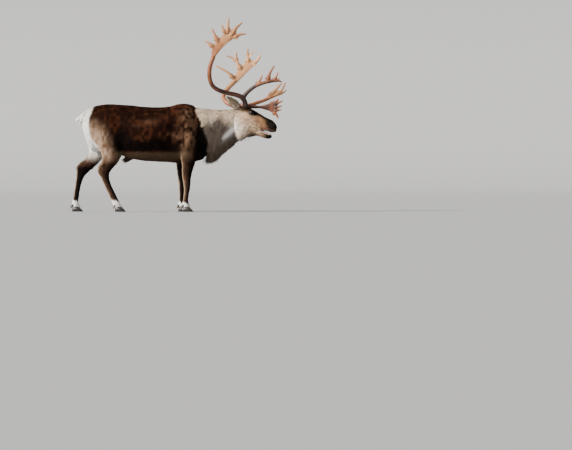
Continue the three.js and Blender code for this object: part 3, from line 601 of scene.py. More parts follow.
def lip(rows, radius):
    other = [[x, -y, z] for x, y, z in rows[-2::-1]]
    line = np.array(rows + other, float)
    swell = 0.55 + 0.45 * np.sin(np.pi * np.arange(len(line)) / (len(line) - 1))
    return branch(line, radius * swell, 14, 60)


def pedicle(side):
    rows = [[740, side * 30, 1090], [745, side * 36, 1125], [750, side * 42, 1158]]
    return branch(rows, [32, 29, 26], 20, 10)


head_parts = [ribbed(SKULL, 72, 110, 2.5), ribbed(JAW, 48, 60, 2), lip(UPPER_LIP, 7), lip(LOWER_LIP, 5.5)]
for side in SIDES.values():
    head_parts += [pedicle(side), ear(side)]
    ridge = [[768, side * 66, 1096], [800, side * 78, 1101], [832, side * 78, 1098], [862, side * 62, 1086]]
    head_parts.append(branch(ridge, [9, 13, 12, 7], 14, 20))  # the bone above the eye
HEAD_VOXEL = 3.2
head = melted("head_skin", [in_head(part) for part in head_parts], HEAD_VOXEL)
print("head", len(head.data.vertices), "points")

# %% [markdown]
# Bone, muscle and folds are soft bumps and dents on that skin: a list of places, sizes and heights, each
# pushed along the surface normal. It is how a modeller adds and takes away clay, and it stays easy to edit.

# %% Head modelling: bumps, dents, nostrils and eye sockets
HEAD_FORMS = [
    # centre on the left side, size, height in mm
    ([770, 90, 900], [60, 40, 60], 7),  # the big chewing muscle
    ([838, 80, 985], [70, 22, 16], 5),  # cheekbone
    ([905, 62, 955], [60, 24, 20], -4),  # hollow of the cheek
    ([862, 74, 1040], [26, 18, 14], -5),  # tear pit in front of the eye
    ([940, 30, 1062], [60, 16, 18], 3),  # edge of the nose bone
    ([930, 0, 1072], [70, 12, 24], -2),
    ([1066, 42, 930], [24, 18, 26], 5),  # puff of the upper lip
    ([1052, 20, 1000], [26, 16, 16], 3),
    ([1072, 0, 985], [22, 6, 22], -3),  # groove between the nostrils
    ([745, 50, 1120], [26, 26, 26], 4),
]
head_points = head_straight(measured(points_of(head)))
head_normals = normals_of(head) @ HEAD_MATRIX
mirrored = head_points * [1, 0, 1] + np.abs(head_points) * [0, 1, 0]
push = sum(height * blob(mirrored, centre, size) for centre, size, height in HEAD_FORMS)
head_points = head_points + head_normals * push[:, None]

# nostril: a comma that opens forwards and curls up behind
along_comma = (mirrored[:, 0] - NOSTRIL[0]) / 15
comma = (mirrored[:, 2] - NOSTRIL[2] - 6 * along_comma**2 + 3 * along_comma) / 6.5
nostril = np.exp(-(along_comma**2) * 1.1 - comma**2) * ramp(mirrored[:, 1], 14, 26)
rim = np.exp(-((np.hypot(along_comma, comma) - 1.7) ** 2) * 3) * ramp(mirrored[:, 1], 14, 26)
near_nose = ramp(mirrored[:, 0], 1030, 1050)
head_points += head_normals * (near_nose * (2.5 * rim - 15 * nostril))[:, None]

# eye sockets: skin within the lids is drawn back behind the eyeball
for side in SIDES.values():
    centre = EYE * [1, side, 1]
    away = head_points - centre
    reach = np.linalg.norm(away, axis=1)
    facing = (away / reach[:, None]) @ unit(np.array([0.2, side, 0.05]))
    socket = ramp(facing, 0.45, 0.8) * (reach < 45)
    target = centre + unit(away) * (EYE_RADIUS - 7)
    head_points += (target - head_points) * socket[:, None]
set_points(head, placed(head_turned(head_points)))

# %% [markdown]
# Two skins that only overlap would show a line at the neck. A Boolean union cuts them to one closed mesh,
# and rounds of smoothing soften the seam and the voxel steps, but spare the face. Muscles and folds are
# bumps again, because each one can be placed and weighed by itself.

# %% Fuse head and trunk and model the muscles
joint = body.modifiers.new("Join head", "BOOLEAN")
joint.operation = "UNION"
joint.object = head
joint.solver = "MANIFOLD"
skin = applied(body)
bpy.data.objects.remove(head)
BODY_FORMS = [
    ([-640, 190, 1000], [70, 90, 90], -10),  # hollow of the flank below the loin
    ([-600, 200, 760], [46, 90, 120], -9),  # fold of the flank before the thigh
    ([-40, 210, 860], [38, 80, 170], -9),  # behind the shoulder
    ([120, 190, 1040], [60, 60, 70], 6),  # shoulder blade
    ([150, 200, 800], [60, 50, 80], 8),  # upper arm
    ([60, 190, 620], [40, 40, 50], 7),  # elbow
    ([250, 130, 960], [30, 80, 140], -5),
    ([-760, 200, 900], [110, 80, 110], 8),  # thigh
    ([-900, 170, 980], [50, 80, 90], 6),
    ([-930, 110, 1130], [50, 60, 40], 5),  # hip bone
    ([-1010, 0, 900], [40, 22, 160], -10),  # cleft under the tail
    ([300, 0, 640], [60, 60, 80], 6),
]
skin_points = measured(points_of(skin))
skin_normals = normals_of(skin)
mirrored = skin_points * [1, 0, 1] + np.abs(skin_points) * [0, 1, 0]
push = sum(height * blob(mirrored, centre, size) for centre, size, height in BODY_FORMS)
trunk_only = skin_points[:, 0] < 500
skin_points += skin_normals * (push * trunk_only)[:, None]
edges = edges_of(skin)
straight = head_straight(skin_points)
fine = ramp(straight[:, 0], 690, 760)
skin_points = relaxed(skin_points, edges, 14, (1 - fine)[:, None])
skin_points = relaxed(skin_points, edges, 2)
SKIN_FLOOR = 12  # no skin below this height; the hooves reach the ground
skin_points[:, 2] = np.maximum(skin_points[:, 2], SKIN_FLOOR)
set_points(skin, placed(skin_points))
print("skin", len(skin.data.vertices), "points", len(skin.data.polygons), "faces")

# %% [markdown]
# ## The markings
#
# A caribou in autumn is dark chocolate on the back and flanks, cream on the neck, white under the tail,
# grey on the belly and white above the hooves. The colour is a formula of place and direction, worked out
# once and used both for the skin and for the hair that grows on it, so the two can never disagree.

# %% Noise and colour helpers


def noise(p, size, seed=0):
    """Smooth random values from 0 to 1 that change over about size mm: hashed corners, blended."""
    q = p / size + 100.5 + 17.3 * seed
    cell = np.floor(q).astype(np.int64)
    f = q - cell
    f = f * f * (3 - 2 * f)
    total = np.zeros(len(p))
    for corner in range(8):
        o = np.array([corner & 1, corner >> 1 & 1, corner >> 2 & 1])
        x, y, z = (cell + o).T
        h = (x * 73856093) ^ (y * 19349663) ^ (z * 83492791) ^ (seed * 2654435761)
        h = (h ^ (h >> 13)) * 1274126177 & 0xFFFFFFFF
        value = ((h ^ (h >> 16)) & 0xFFFF) / 65535.0
        weight = np.prod(np.where(o, f, 1 - f), axis=1)
        total += value * weight
    return total


def rgb(r, g, b):
    """A colour named as on a screen, 0 to 255, in the linear values that Blender works with."""
    c = np.array([r, g, b]) / 255
    return np.where(c <= 0.04045, c / 12.92, ((c + 0.055) / 1.055) ** 2.4)


def mix(base, colour, share):
    """Base moved towards colour by a share, which is one number or one for each place."""
    return base + (colour - base) * np.clip(share, 0, 1)[..., None]


# %% [markdown]
# The colours are named after what wears them. They are given as on a screen and turned into linear light.

# %% The palette
CHOCOLATE = rgb(38, 20, 13)
DARK = rgb(9, 7, 7)
RUSSET = rgb(98, 56, 36)
TAN = rgb(158, 122, 94)
PALE_TAN = rgb(206, 176, 150)
GREY_BELLY = rgb(90, 72, 56)
CREAM = rgb(228, 206, 178)
THROAT_GREY_AND_SHADE = rgb(86, 76, 72)
WHITE = rgb(246, 242, 236)
LEG_BROWN = rgb(52, 35, 26)
FACE_BROWN = rgb(116, 82, 58)
NOSE = rgb(8, 7, 7)


def between(v, low, high, soft):
    """A share that rises at low, stays 1 and falls again at high."""
    return ramp(v, low - soft, low + soft) * (1 - ramp(v, high - soft, high + soft))


# %% [markdown]
# The trunk is nearly black along flank band and chest, russet on the withers, tan on shoulder and thigh,
# grey below and white behind. A painter would lay these one over the other, and so does this function: each
# mix puts one colour over the last, with an edge that noise makes uneven.

# %% The trunk's markings


def trunk_colour(p, n):
    x, y, z = p.T
    cloud = noise(p, 90, 1)
    mottle = noise(p * [1, 1, 0.6], 26, 2)
    fleck = noise(p, 9, 3)
    wobble = 40 * (cloud - 0.5) + 22 * (mottle - 0.5)
    c = mix(CHOCOLATE, RUSSET, 0.5 * ramp(mottle + 0.4 * cloud, 0.55, 1.1))
    c = mix(c, RUSSET, 0.6 * blob(p, [40, 0, 1165], [160, 1e4, 75]) * ramp(mottle, 0.1, 0.8))
    c = mix(c, DARK, 0.6 * ramp(cloud, 0.55, 0.9) * ramp(z, 900, 1100))
    streak = np.exp(-(((z - 1003 - 0.06 * x) / 42) ** 2)) * between(x, -540, -120, 70)
    c = mix(c, TAN, 0.2 * streak * ramp(noise(p * [0.5, 1, 1], 44, 14) + 0.4 * fleck, 0.4, 1.1))
    second = np.exp(-(((z - 830) / 34) ** 2)) * between(x, -120, 30, 50)
    c = mix(c, TAN, 0.3 * second * ramp(mottle, 0.3, 0.8))
    over = np.interp(x, [-700, -600, -520, -380, -200, -60, 60], [900, 880, 800, 782, 800, 772, 740])
    band = ramp(z, 652, 692) * (1 - ramp(z + 1.3 * wobble - over, -42, 34)) * between(x, -690, 140, 70)
    c = mix(c, DARK, 0.88 * band)
    smudge = 0.75 * blob(p, [-560, 0, 930], [72, 1e4, 160]) + 0.5 * blob(p, [-100, 0, 935], [60, 1e4, 26])
    c = mix(c, DARK, smudge)
    belly = 1 - ramp(z + 0.3 * wobble, 648, 676)
    c = mix(c, GREY_BELLY, 0.92 * belly * between(x, -720, 160, 50))
    # the haunch pales to tan towards the back of the thigh
    haunch = ramp(-x + 0.3 * (900 - z), 700, 900) * (1 - ramp(z + 1.4 * wobble, 830, 1040))
    buff = mix(TAN, PALE_TAN, ramp(mottle, 0.2, 0.7))
    c = mix(c, buff, 0.9 * haunch * (0.75 + 0.5 * fleck))
    # the shoulder is patched with tan, and a dark band runs down in front of it
    arm = blob(p, [130, 0, 830], [95, 1e4, 170]) + 0.7 * blob(p, [110, 0, 1060], [70, 1e4, 80])
    c = mix(c, mix(c, TAN, 0.75), arm * ramp(mottle + 0.5 * fleck, 0.35, 1.0))
    front = np.interp(z, [600, 750, 900, 1010, 1100], [178, 186, 204, 236, 290])
    c = mix(c, DARK, 0.92 * ramp(x + 0.4 * wobble - front, -20, 24) * (1 - ramp(z, 985, 1110)))
    # white rump patch, and the white insides of the thighs
    heights = [560, 673, 741, 811, 899, 1026, 1124, 1160]
    edge = np.interp(z, heights, [-1300, -850, -880, -935, -958, -966, -930, -912])
    rump = 1 - ramp(x + 0.35 * wobble - edge, -10, 14)
    c = mix(c, WHITE, rump * ramp(z, 600, 660))
    inside = ramp(-n[:, 1] * np.sign(y), 0.05, 0.5) * ramp(z, 500, 640) * (1 - ramp(x, -760, -640))
    c = mix(c, WHITE * 0.9, 0.9 * inside)
    return mix(c, c * 0.62, 0.5 * ramp(fleck, 0.5, 1.0))


# %% [markdown]
# Legs are dark in front and paler behind, partly their own colour and partly painted light and shade:
# the backs get painted light from the lamp behind, the fronts and inner sides painted shade. They end in
# white socks. The neck is cream with grey on the throat, partly darker hair and partly painted shade, and
# the creases between its locks are painted shade. Its streaks are noise stretched along the hanging locks.

# %% The markings of legs and neck


def leg_colour(p, n):
    x, y, z = p.T
    fleck = noise(p * [1, 1, 0.3], 8, 4)
    # lighter towards the back: partly paler hair, partly painted light on the sides that face the lamp behind
    c = mix(LEG_BROWN, TAN, 0.55 * ramp(fleck, 0.3, 0.9) * ramp(-n[:, 0], -0.2, 0.8))
    # darker in front: partly the leg's own dark front, partly painted shade on the side away from the lamp
    front = ramp(n[:, 0] + 0.3 * (fleck - 0.5), -0.2, 0.55)
    c = mix(c, DARK, 0.95 * front)
    # painted shade on the inner sides of the legs, apart from the white insides of the thighs
    c = mix(c, DARK, 0.9 * ramp(-n[:, 1] * np.sign(y), 0.1, 0.6) * ((x > -500) | (z < 500)))
    # painted light: a pale edge down the back of each leg, where the light from behind falls
    c = mix(c, rgb(176, 152, 126), 0.8 * ramp(-n[:, 0] - 0.35 * (fleck - 0.5), 0.45, 0.95))
    top = np.where(x > -500, 92, 118)
    sock = 1 - ramp(z + 26 * (fleck - 0.5) + 16 * n[:, 0] - top, -10, 16)
    return mix(c, WHITE, sock)


def neck_colour(p, n):
    x, y, z = p.T
    # hair hangs in locks, so the streaks are stretched along the lie
    lock = noise(np.stack([x + 0.25 * z, y, 0.16 * z], 1), 17, 5)
    wisp = noise(np.stack([x + 0.25 * z, y, 0.2 * z], 1), 7, 6)
    cloud = noise(p, 80, 7)
    c = mix(CREAM, WHITE, 0.5 * ramp(lock, 0.5, 0.95))
    c = mix(c, rgb(150, 128, 108), 0.45 * ramp(wisp, 0.5, 0.95))
    # painted shade: dark slits in the creases between the hanging locks of the neck
    fold = noise(np.stack([x + 0.3 * z, 0.5 * y, 0.1 * z], 1), 10, 15)
    crease = ramp(0.4 - fold, 0, 0.14) * between(x, 300, 590, 40) * between(z, 900, 1080, 45)
    c = mix(c, rgb(88, 74, 66), 0.85 * crease)
    # the grey low on the neck and throat is partly darker hair and partly painted shade under the neck
    low = np.interp(x, [230, 330, 450, 560, 660, 760], [880, 1005, 1032, 1008, 930, 860])
    throat = 1 - ramp(z + 90 * (lock - 0.5) + 50 * (cloud - 0.5) - low, -55, 45)
    c = mix(c, THROAT_GREY_AND_SHADE, 0.9 * throat)
    c = mix(c, rgb(70, 58, 52), 0.6 * throat * ramp(wisp, 0.4, 0.85))
    fringe = 1 - ramp(z - np.interp(x, [300, 400, 520, 640, 740], [700, 700, 760, 830, 870]), -40, 60)
    c = mix(c, rgb(78, 62, 50), 0.8 * fringe * ramp(lock, 0.05, 0.7))
    # the long white lock that falls back from the cheek
    along = (p[:, [0, 2]] - [505, 822]) @ unit(np.array([170.0, 150.0]))
    off = (p[:, [0, 2]] - [505, 822]) @ unit(np.array([-150.0, 170.0]))
    ruff = between(along, 0, 250, 30) * np.exp(-((off / (17 + 0.11 * np.abs(along))) ** 2))
    nape = ramp(x, 590, 650) * ramp(z, 1010, 1080)
    return mix(mix(c, WHITE, 0.9 * ruff), rgb(140, 108, 82), 0.5 * nape * ramp(wisp, 0.2, 0.7))


# %% [markdown]
# The face is brown with a pale cheek, a black muzzle and dark rings about the eyes. Its markings follow the
# bones, so they are laid out on the straight head and turn with it.

# %% The head's markings


def head_colour(p, n):
    """p and n are in the straight head's own frame."""
    x, y, z = p.T
    side = np.abs(y)
    cloud = noise(p, 40, 8)
    fleck = noise(p * [0.5, 1, 1], 6, 9)
    streak = noise(np.stack([0.3 * x + 0.35 * z, y, z], 1), 9, 12)
    c = mix(FACE_BROWN, rgb(156, 122, 92), 0.7 * ramp(cloud + 0.4 * streak, 0.4, 1.1))
    cheek = 1 - ramp(x + 0.45 * (z - 930) + 50 * (cloud - 0.5) + 30 * (streak - 0.5), 820, 935)
    pale = mix(rgb(222, 192, 160), TAN, 0.75 * ramp(streak, 0.35, 0.85))
    c = mix(c, pale, 0.92 * cheek * (1 - ramp(z, 1055, 1105)))
    c = mix(c, WHITE, 0.6 * blob(p, [730, 0, 905], [40, 1e4, 50]) * ramp(side, 20, 60))
    # grey under the jaw: partly darker hair, partly painted shade on the underside
    c = mix(c, THROAT_GREY_AND_SHADE, 0.6 * (1 - ramp(z, 828, 852)) * (1 - ramp(x, 860, 930)))
    c = mix(c, DARK, 0.75 * (1 - ramp(z + 12 * (cloud - 0.5), 836, 876)) * between(x, 800, 905, 26))
    line = np.interp(x, [640, 730, 800, 915, 1018, 1060], [1120, 1128, 1112, 1052, 994, 975])
    top = ramp(z - line + 10 * (cloud - 0.5), -30, -8)
    c = mix(c, DARK, 0.88 * top * ramp(x, 700, 780))
    c = mix(c, rgb(66, 50, 40), 0.9 * ramp(z - line, -52, -20) * (1 - ramp(x, 740, 800)))
    eye = blob(p, [820, 0, 1076], [44, 1e4, 25]) + 0.8 * blob(p, [862, 0, 1056], [34, 1e4, 18])
    c = mix(c, DARK * 0.7, 1.35 * eye)
    muzzle = ramp(x + 0.3 * (z - 930) + 34 * (cloud - 0.5) + 16 * (streak - 0.5), 950, 1018)
    c = mix(c, NOSE, 0.98 * muzzle)
    # painted highlight: a lighter spot on top of the nose
    c = mix(c, rgb(120, 96, 76), 0.5 * blob(p, [1075, 0, 985], [14, 1e4, 10]))
    rim = between(z - np.interp(x, [900, 1004, 1078], [890, 886, 884]), -8, 6, 3) * ramp(x, 905, 930)
    c = mix(c, rgb(70, 56, 48), 0.6 * rim)
    jaw = (z < np.interp(x, [880, 915, 1019, 1050], [905, 893, 862, 852])) & (x > 905)
    jaw_dark = mix(rgb(122, 98, 78), DARK, ramp(x + 14 * (cloud - 0.5), 930, 1000))
    c = mix(c, jaw_dark, jaw * ramp(x, 900, 950))
    pale = jaw * ramp(z - np.interp(x, [905, 966, 1008, 1036], [874, 851, 835, 828]), -4, 9)
    c = mix(c, rgb(206, 178, 162), 0.9 * pale * (1 - ramp(x, 1018, 1036)))
    mouth = between(x, 880, 1080, 14) * ramp(-n[:, 2], 0.25, 0.6) * (z > 880) * (side < 36)
    c = mix(c, rgb(116, 76, 70), 0.9 * mouth)
    return mix(c, c * 0.72, 0.4 * ramp(fleck, 0.5, 1.0))


# %% [markdown]
# The parts are blended where they meet: legs fade into the trunk, the neck begins at a collar, and the head
# begins behind the jaw. One function returns the colour anywhere, for skin and hair alike.

# %% Ears, and the whole coat


def ear_share(q):
    """How much a point of the straight head belongs to an ear, and how far along the ear it is."""
    best, far = np.zeros(len(q)), np.zeros(len(q))
    for side, (root, along, _) in EAR_LINES.items():
        way = unit(np.array(along, float))
        v = q - np.array(root, float)
        t = v @ way
        off = np.linalg.norm(v - t[:, None] * way, axis=1)
        share = ramp(t, 22, 40) * (1 - ramp(off, 46, 58)) * (q[:, 1] * side > 0)
        best, far = np.maximum(best, share), np.where(share > 0.5, t / EAR_LENGTH, far)
    return best, far


def coat_colour(p, n):
    """The coat's colour at places p (mm, animal's frame) whose skin faces n."""
    x, y, z = p.T
    q = head_straight(p)
    m = n @ HEAD_MATRIX
    c = trunk_colour(p, n)
    limb = 1 - ramp(z + 30 * n[:, 0], 520, 640)
    c = mix(c, leg_colour(p, n), limb)
    collar = x - np.interp(z, [585, 813, 1006, 1150], [322, 343, 267, 196]) + 22 * (noise(p, 30, 10) - 0.5)
    neck = ramp(collar, -9, 9) * (z > 520)
    c = mix(c, neck_colour(p, n), neck)
    edge = np.interp(q[:, 2], [820, 960, 1060, 1140], [740, 705, 690, 668])
    head_part = ramp(q[:, 0] - edge + 46 * (noise(p * [0.6, 1, 1], 24, 11) - 0.5), -52, 40)
    c = mix(c, head_colour(q, m), head_part)
    tail = (x < -930) & (z > 1000) & (np.abs(y) < 60)
    c = np.where(tail[:, None], WHITE * 0.97, c)
    lobe, far = ear_share(q)
    flip = np.sign(q[:, 1])
    back = np.zeros(len(p))
    for side, (_, _, hollow) in EAR_LINES.items():
        back = np.where(flip == side, -(m @ unit(np.array(hollow, float))), back)
    ear_tone = mix(rgb(190, 172, 148), rgb(56, 44, 38), ramp(back, -0.15, 0.35))
    return mix(c, ear_tone, lobe)


# %% [markdown]
# A colour attribute carries the markings on the mesh itself. The skin also gets a flat layout, OFBake, cut
# by the direction its faces look in.

# %% Paint and unwrap the skin


def painted(obj, colours):
    layer = obj.data.color_attributes.new("Coat", "FLOAT_COLOR", "POINT")
    rgba = np.column_stack([np.clip(colours, 0, 1), np.ones(len(colours))])
    layer.data.foreach_set("color", rgba.astype(np.float32).ravel())


def unwrapped(obj):
    bpy.context.view_layer.objects.active = obj
    obj.select_set(True)
    bpy.ops.object.mode_set(mode="EDIT")
    bpy.ops.mesh.select_all(action="SELECT")
    bpy.ops.uv.smart_project(angle_limit=math.radians(66), island_margin=0.001)
    bpy.ops.object.mode_set(mode="OBJECT")
    obj.data.uv_layers[0].name = "OFBake"
    obj.select_set(False)


skin_points = measured(points_of(skin))
skin_normals = normals_of(skin)
# Painted shade: where the hair is long, the skin is darkened to 0.55 of the coat's colour, so the gaps between
# tufts read as shadow; face and lower legs keep 0.93 of it.
short = np.maximum(1 - ramp(skin_points[:, 2], 380, 560), ramp(head_straight(skin_points)[:, 0], 760, 850))
depth = 0.55 + 0.38 * short  # darker between hairs, where they are long
painted(skin, coat_colour(skin_points, skin_normals) * depth[:, None])
unwrapped(skin)
print("unwrapped", len(skin.data.uv_layers[0].data), "corners")

# %% [markdown]
# Hair, bone, horn, wet flesh and the eye differ in shine and grain more than in colour. Pictures of each
# could be wrapped on, but noise that drives a bump needs no picture and has no seams. The painted attribute
# gives the colour, and each finish adds its own roughness and relief.

# %% Materials


def finish(name, roughness, bumps, fleck=None, **sockets):
    """A surface whose colour is painted on the mesh.

    bumps = (noise scale, strength, depth in mm); fleck = (noise scale, how dark its spots are).
    """
    made = bpy.data.materials.new(name)
    made.use_nodes = True
    nodes, links = made.node_tree.nodes, made.node_tree.links
    shader = nodes["Principled BSDF"]
    shader.inputs["Roughness"].default_value = roughness
    for socket, value in sockets.items():
        shader.inputs[socket.replace("_", " ")].default_value = value
    paint = nodes.new("ShaderNodeAttribute")
    paint.attribute_name = "Coat"
    colour = paint.outputs["Color"]
    where = nodes.new("ShaderNodeTexCoord").outputs["Object"]

    def grain(scale, detail):
        texture = nodes.new("ShaderNodeTexNoise")
        texture.inputs["Scale"].default_value = scale
        texture.inputs["Detail"].default_value = detail
        links.new(where, texture.inputs["Vector"])
        return texture.outputs["Fac"]

    if fleck:
        scale, dark = fleck
        blend = nodes.new("ShaderNodeMix")
        blend.data_type = "RGBA"
        blend.blend_type = "MULTIPLY"
        blend.inputs["B"].default_value = (dark, dark, dark, 1)
        links.new(grain(scale, 3), blend.inputs["Factor"])
        links.new(colour, blend.inputs["A"])
        colour = blend.outputs["Result"]
    links.new(colour, shader.inputs["Base Color"])
    normal = None
    for scale, strength, depth in bumps:
        bump = nodes.new("ShaderNodeBump")
        bump.inputs["Strength"].default_value = strength
        bump.inputs["Distance"].default_value = depth * MM
        links.new(grain(scale, 4), bump.inputs["Height"])
        if normal:
            links.new(normal, bump.inputs["Normal"])
        normal = bump.outputs["Normal"]
    if normal:
        links.new(normal, shader.inputs["Normal"])
    return made


SKIN_FINISH = finish("undercoat_painted_shade", 0.75, [(160, 0.5, 3), (700, 0.5, 1)], Specular_IOR_Level=0.06)
ANTLER_FINISH = finish("antler bone", 0.5, [(90, 0.35, 2), (420, 0.4, 0.7)], fleck=(160, 0.55))
HORN_FINISH = finish("hoof horn", 0.42, [(60, 0.3, 2), (500, 0.35, 0.6)], fleck=(240, 0.6))
WET_FINISH = finish("wet flesh", 0.28, [(500, 0.4, 0.6)], Subsurface_Weight=0.1)
EYE_FINISH = finish("eye", 0.06, [], Coat_Weight=0.7, Coat_Roughness=0.03, Specular_IOR_Level=0.3)
skin.data.materials.clear()
skin.data.materials.append(SKIN_FINISH)

# %% [markdown]
# The solids come in parts, such as a forearm or a jaw. On the animal they share one hide, so one skin
# stands for all of them, and the solids it replaces are hidden.

# %% Which CAD nodes are flesh
FLESH = ["torso", "neck", "head", "lower_jaw", "tail", "ear_right", "ear_left"]
for limb in LEGS:
    upper = "forearm" if limb.startswith("fore") else "gaskin"
    FLESH += [f"{limb}_{upper}", f"{limb}_cannon"]
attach(skin, "root")
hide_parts(*FLESH)
print("skin stands for", len(FLESH), "solids")

# %% [markdown]
# ## The lie of the coat
#
# Hair grows out of the skin and is combed by wind, rain and the animal's own licking: back and down on
# the body, straight down on the legs, back from the nose on the face. A field gives that direction at any
# place, and every tuft starts along it.

# %% Where the hair points and how long it is
HAIR_FINISH = finish("hair", 0.7, [], Specular_IOR_Level=0.035)


def regions(p):
    """Shares of head, ear, neck, leg and tail at places p; what is left is trunk."""
    x, y, z = p.T
    q = head_straight(p)
    edge = np.interp(q[:, 2], [820, 960, 1060, 1140], [745, 712, 695, 672])
    head_part = ramp(q[:, 0] - edge, -20, 20)
    ear_part, _ = ear_share(q)
    collar = np.interp(z, [585, 813, 1006, 1150], [322, 343, 267, 196]) + 36  # the hair falls back over it
    neck_part = ramp(x - collar, -20, 20) * (z > 520) * (1 - head_part)
    leg_part = 1 - ramp(z, 470, 640)
    tail_part = ramp(-x, 940, 975) * ramp(z, 985, 1015) * (np.abs(y) < 58)
    return head_part, ear_part, neck_part, leg_part, tail_part


def lie(p, n):
    """The way the hair runs: region directions blended by their shares, then laid into the surface."""
    x, y, z = p.T
    q = head_straight(p)
    head_part, ear_part, neck_part, leg_part, tail_part = regions(p)
    down = ramp(1000 - z, 0, 420)
    way = np.stack([-1 + 0.5 * down, 0 * x, -0.3 - 0.75 * down], 1)
    way = mix(way, np.array([-0.35, 0, -1.0]), ramp(-x, 600, 820))
    way = mix(way, np.array([-0.3, 0, -1.0]), 0.7 * blob(p, [120, 0, 800], [130, 1e4, 260]))
    neck_way = np.stack([-0.62 + 0.3 * ramp(900 - z, 0, 200), 0 * x, -0.62 - 0.4 * ramp(1080 - z, 0, 200)], 1)
    way = mix(way, neck_way, neck_part)
    way = mix(way, np.array([-0.16, 0, -1.0]), leg_part)
    way = mix(way, np.array([-0.75, 0, -0.65]), tail_part)
    face = np.stack([-np.ones(len(p)), 0.25 * np.sign(q[:, 1]), -0.1 - 0.7 * ramp(960 - q[:, 2], 0, 60)], 1)
    face[:, 2] *= 1 - 0.6 * ramp(q[:, 0], 880, 980)
    way = mix(way, face @ HEAD_MATRIX.T, head_part)
    for side, (_, along, _) in EAR_LINES.items():
        way = mix(way, unit(np.array(along, float)) @ HEAD_MATRIX.T, ear_part * (q[:, 1] * side > 0))
    swirl = 0.55 * (noise(p, 110, 61) - 0.5) + 0.5 * (noise(p, 34, 62) - 0.5)
    way = way + np.cross(n, unit(way)) * (swirl * (1 - 0.6 * head_part))[:, None]
    return unit(way - (way * n).sum(1, keepdims=True) * n)


# %% [markdown]
# Hair roots lie close and even over the hide. Particle hair could scatter them, but it would have to be
# turned into meshes afterwards. Picking triangles by a seeded chance, as likely as their area, gives the
# same spread and leaves the density of each region to one weight.

# %% Picking roots on the skin
mesh = skin.data
mesh.calc_loop_triangles()
TRI = read(mesh.loop_triangles, "vertices", 3, np.int32)
TRI_LOOPS = read(mesh.loop_triangles, "loops", 3, np.int32)
TRI_UV = read(mesh.uv_layers["OFBake"].data, "uv", 2)[TRI_LOOPS]
TRI_POINT = skin_points[TRI]
TRI_MIDDLE = TRI_POINT.mean(1)
TRI_NORMAL = unit(skin_normals[TRI].mean(1))
side_one, side_two = TRI_POINT[:, 1] - TRI_POINT[:, 0], TRI_POINT[:, 2] - TRI_POINT[:, 0]
TRI_AREA = np.linalg.norm(np.cross(side_one, side_two), axis=1) / 2
print("skin area", round(TRI_AREA.sum() / 1e6, 2), "square metres")


def roots(rng, weight, count):
    """count seeded places on the skin, as likely as area times weight, with normal and bake place."""
    chance = np.cumsum(TRI_AREA * weight)
    pick = np.searchsorted(chance, rng.random(count) * chance[-1])
    pick = np.minimum(pick, len(TRI) - 1)
    a = np.sqrt(rng.random(count))
    b = rng.random(count)
    share = np.stack([1 - a, a * (1 - b), a * b], 1)[:, :, None]
    p = (TRI_POINT[pick] * share).sum(1)
    n = unit((skin_normals[TRI[pick]] * share).sum(1))
    uv = (TRI_UV[pick] * share).sum(1)
    return p, n, uv


# %% [markdown]
# A tuft is a handful of thin, tapered, bent strips that start side by side and come together at the tip,
# as damp hair does. All tufts of a piece are worked out at once as arrays. Their shading normals lean
# towards the skin's, which is what makes many small blades read as one soft coat.

# %% Tufts from arrays


ROOT_DEPTH = 1.2  # how far a strip starts below the skin, in mm
HAIR_FLOOR = 1.5  # no hair reaches lower than this, in mm
BAKE_PATCH = 0.003  # how much of the skin's map one strip covers


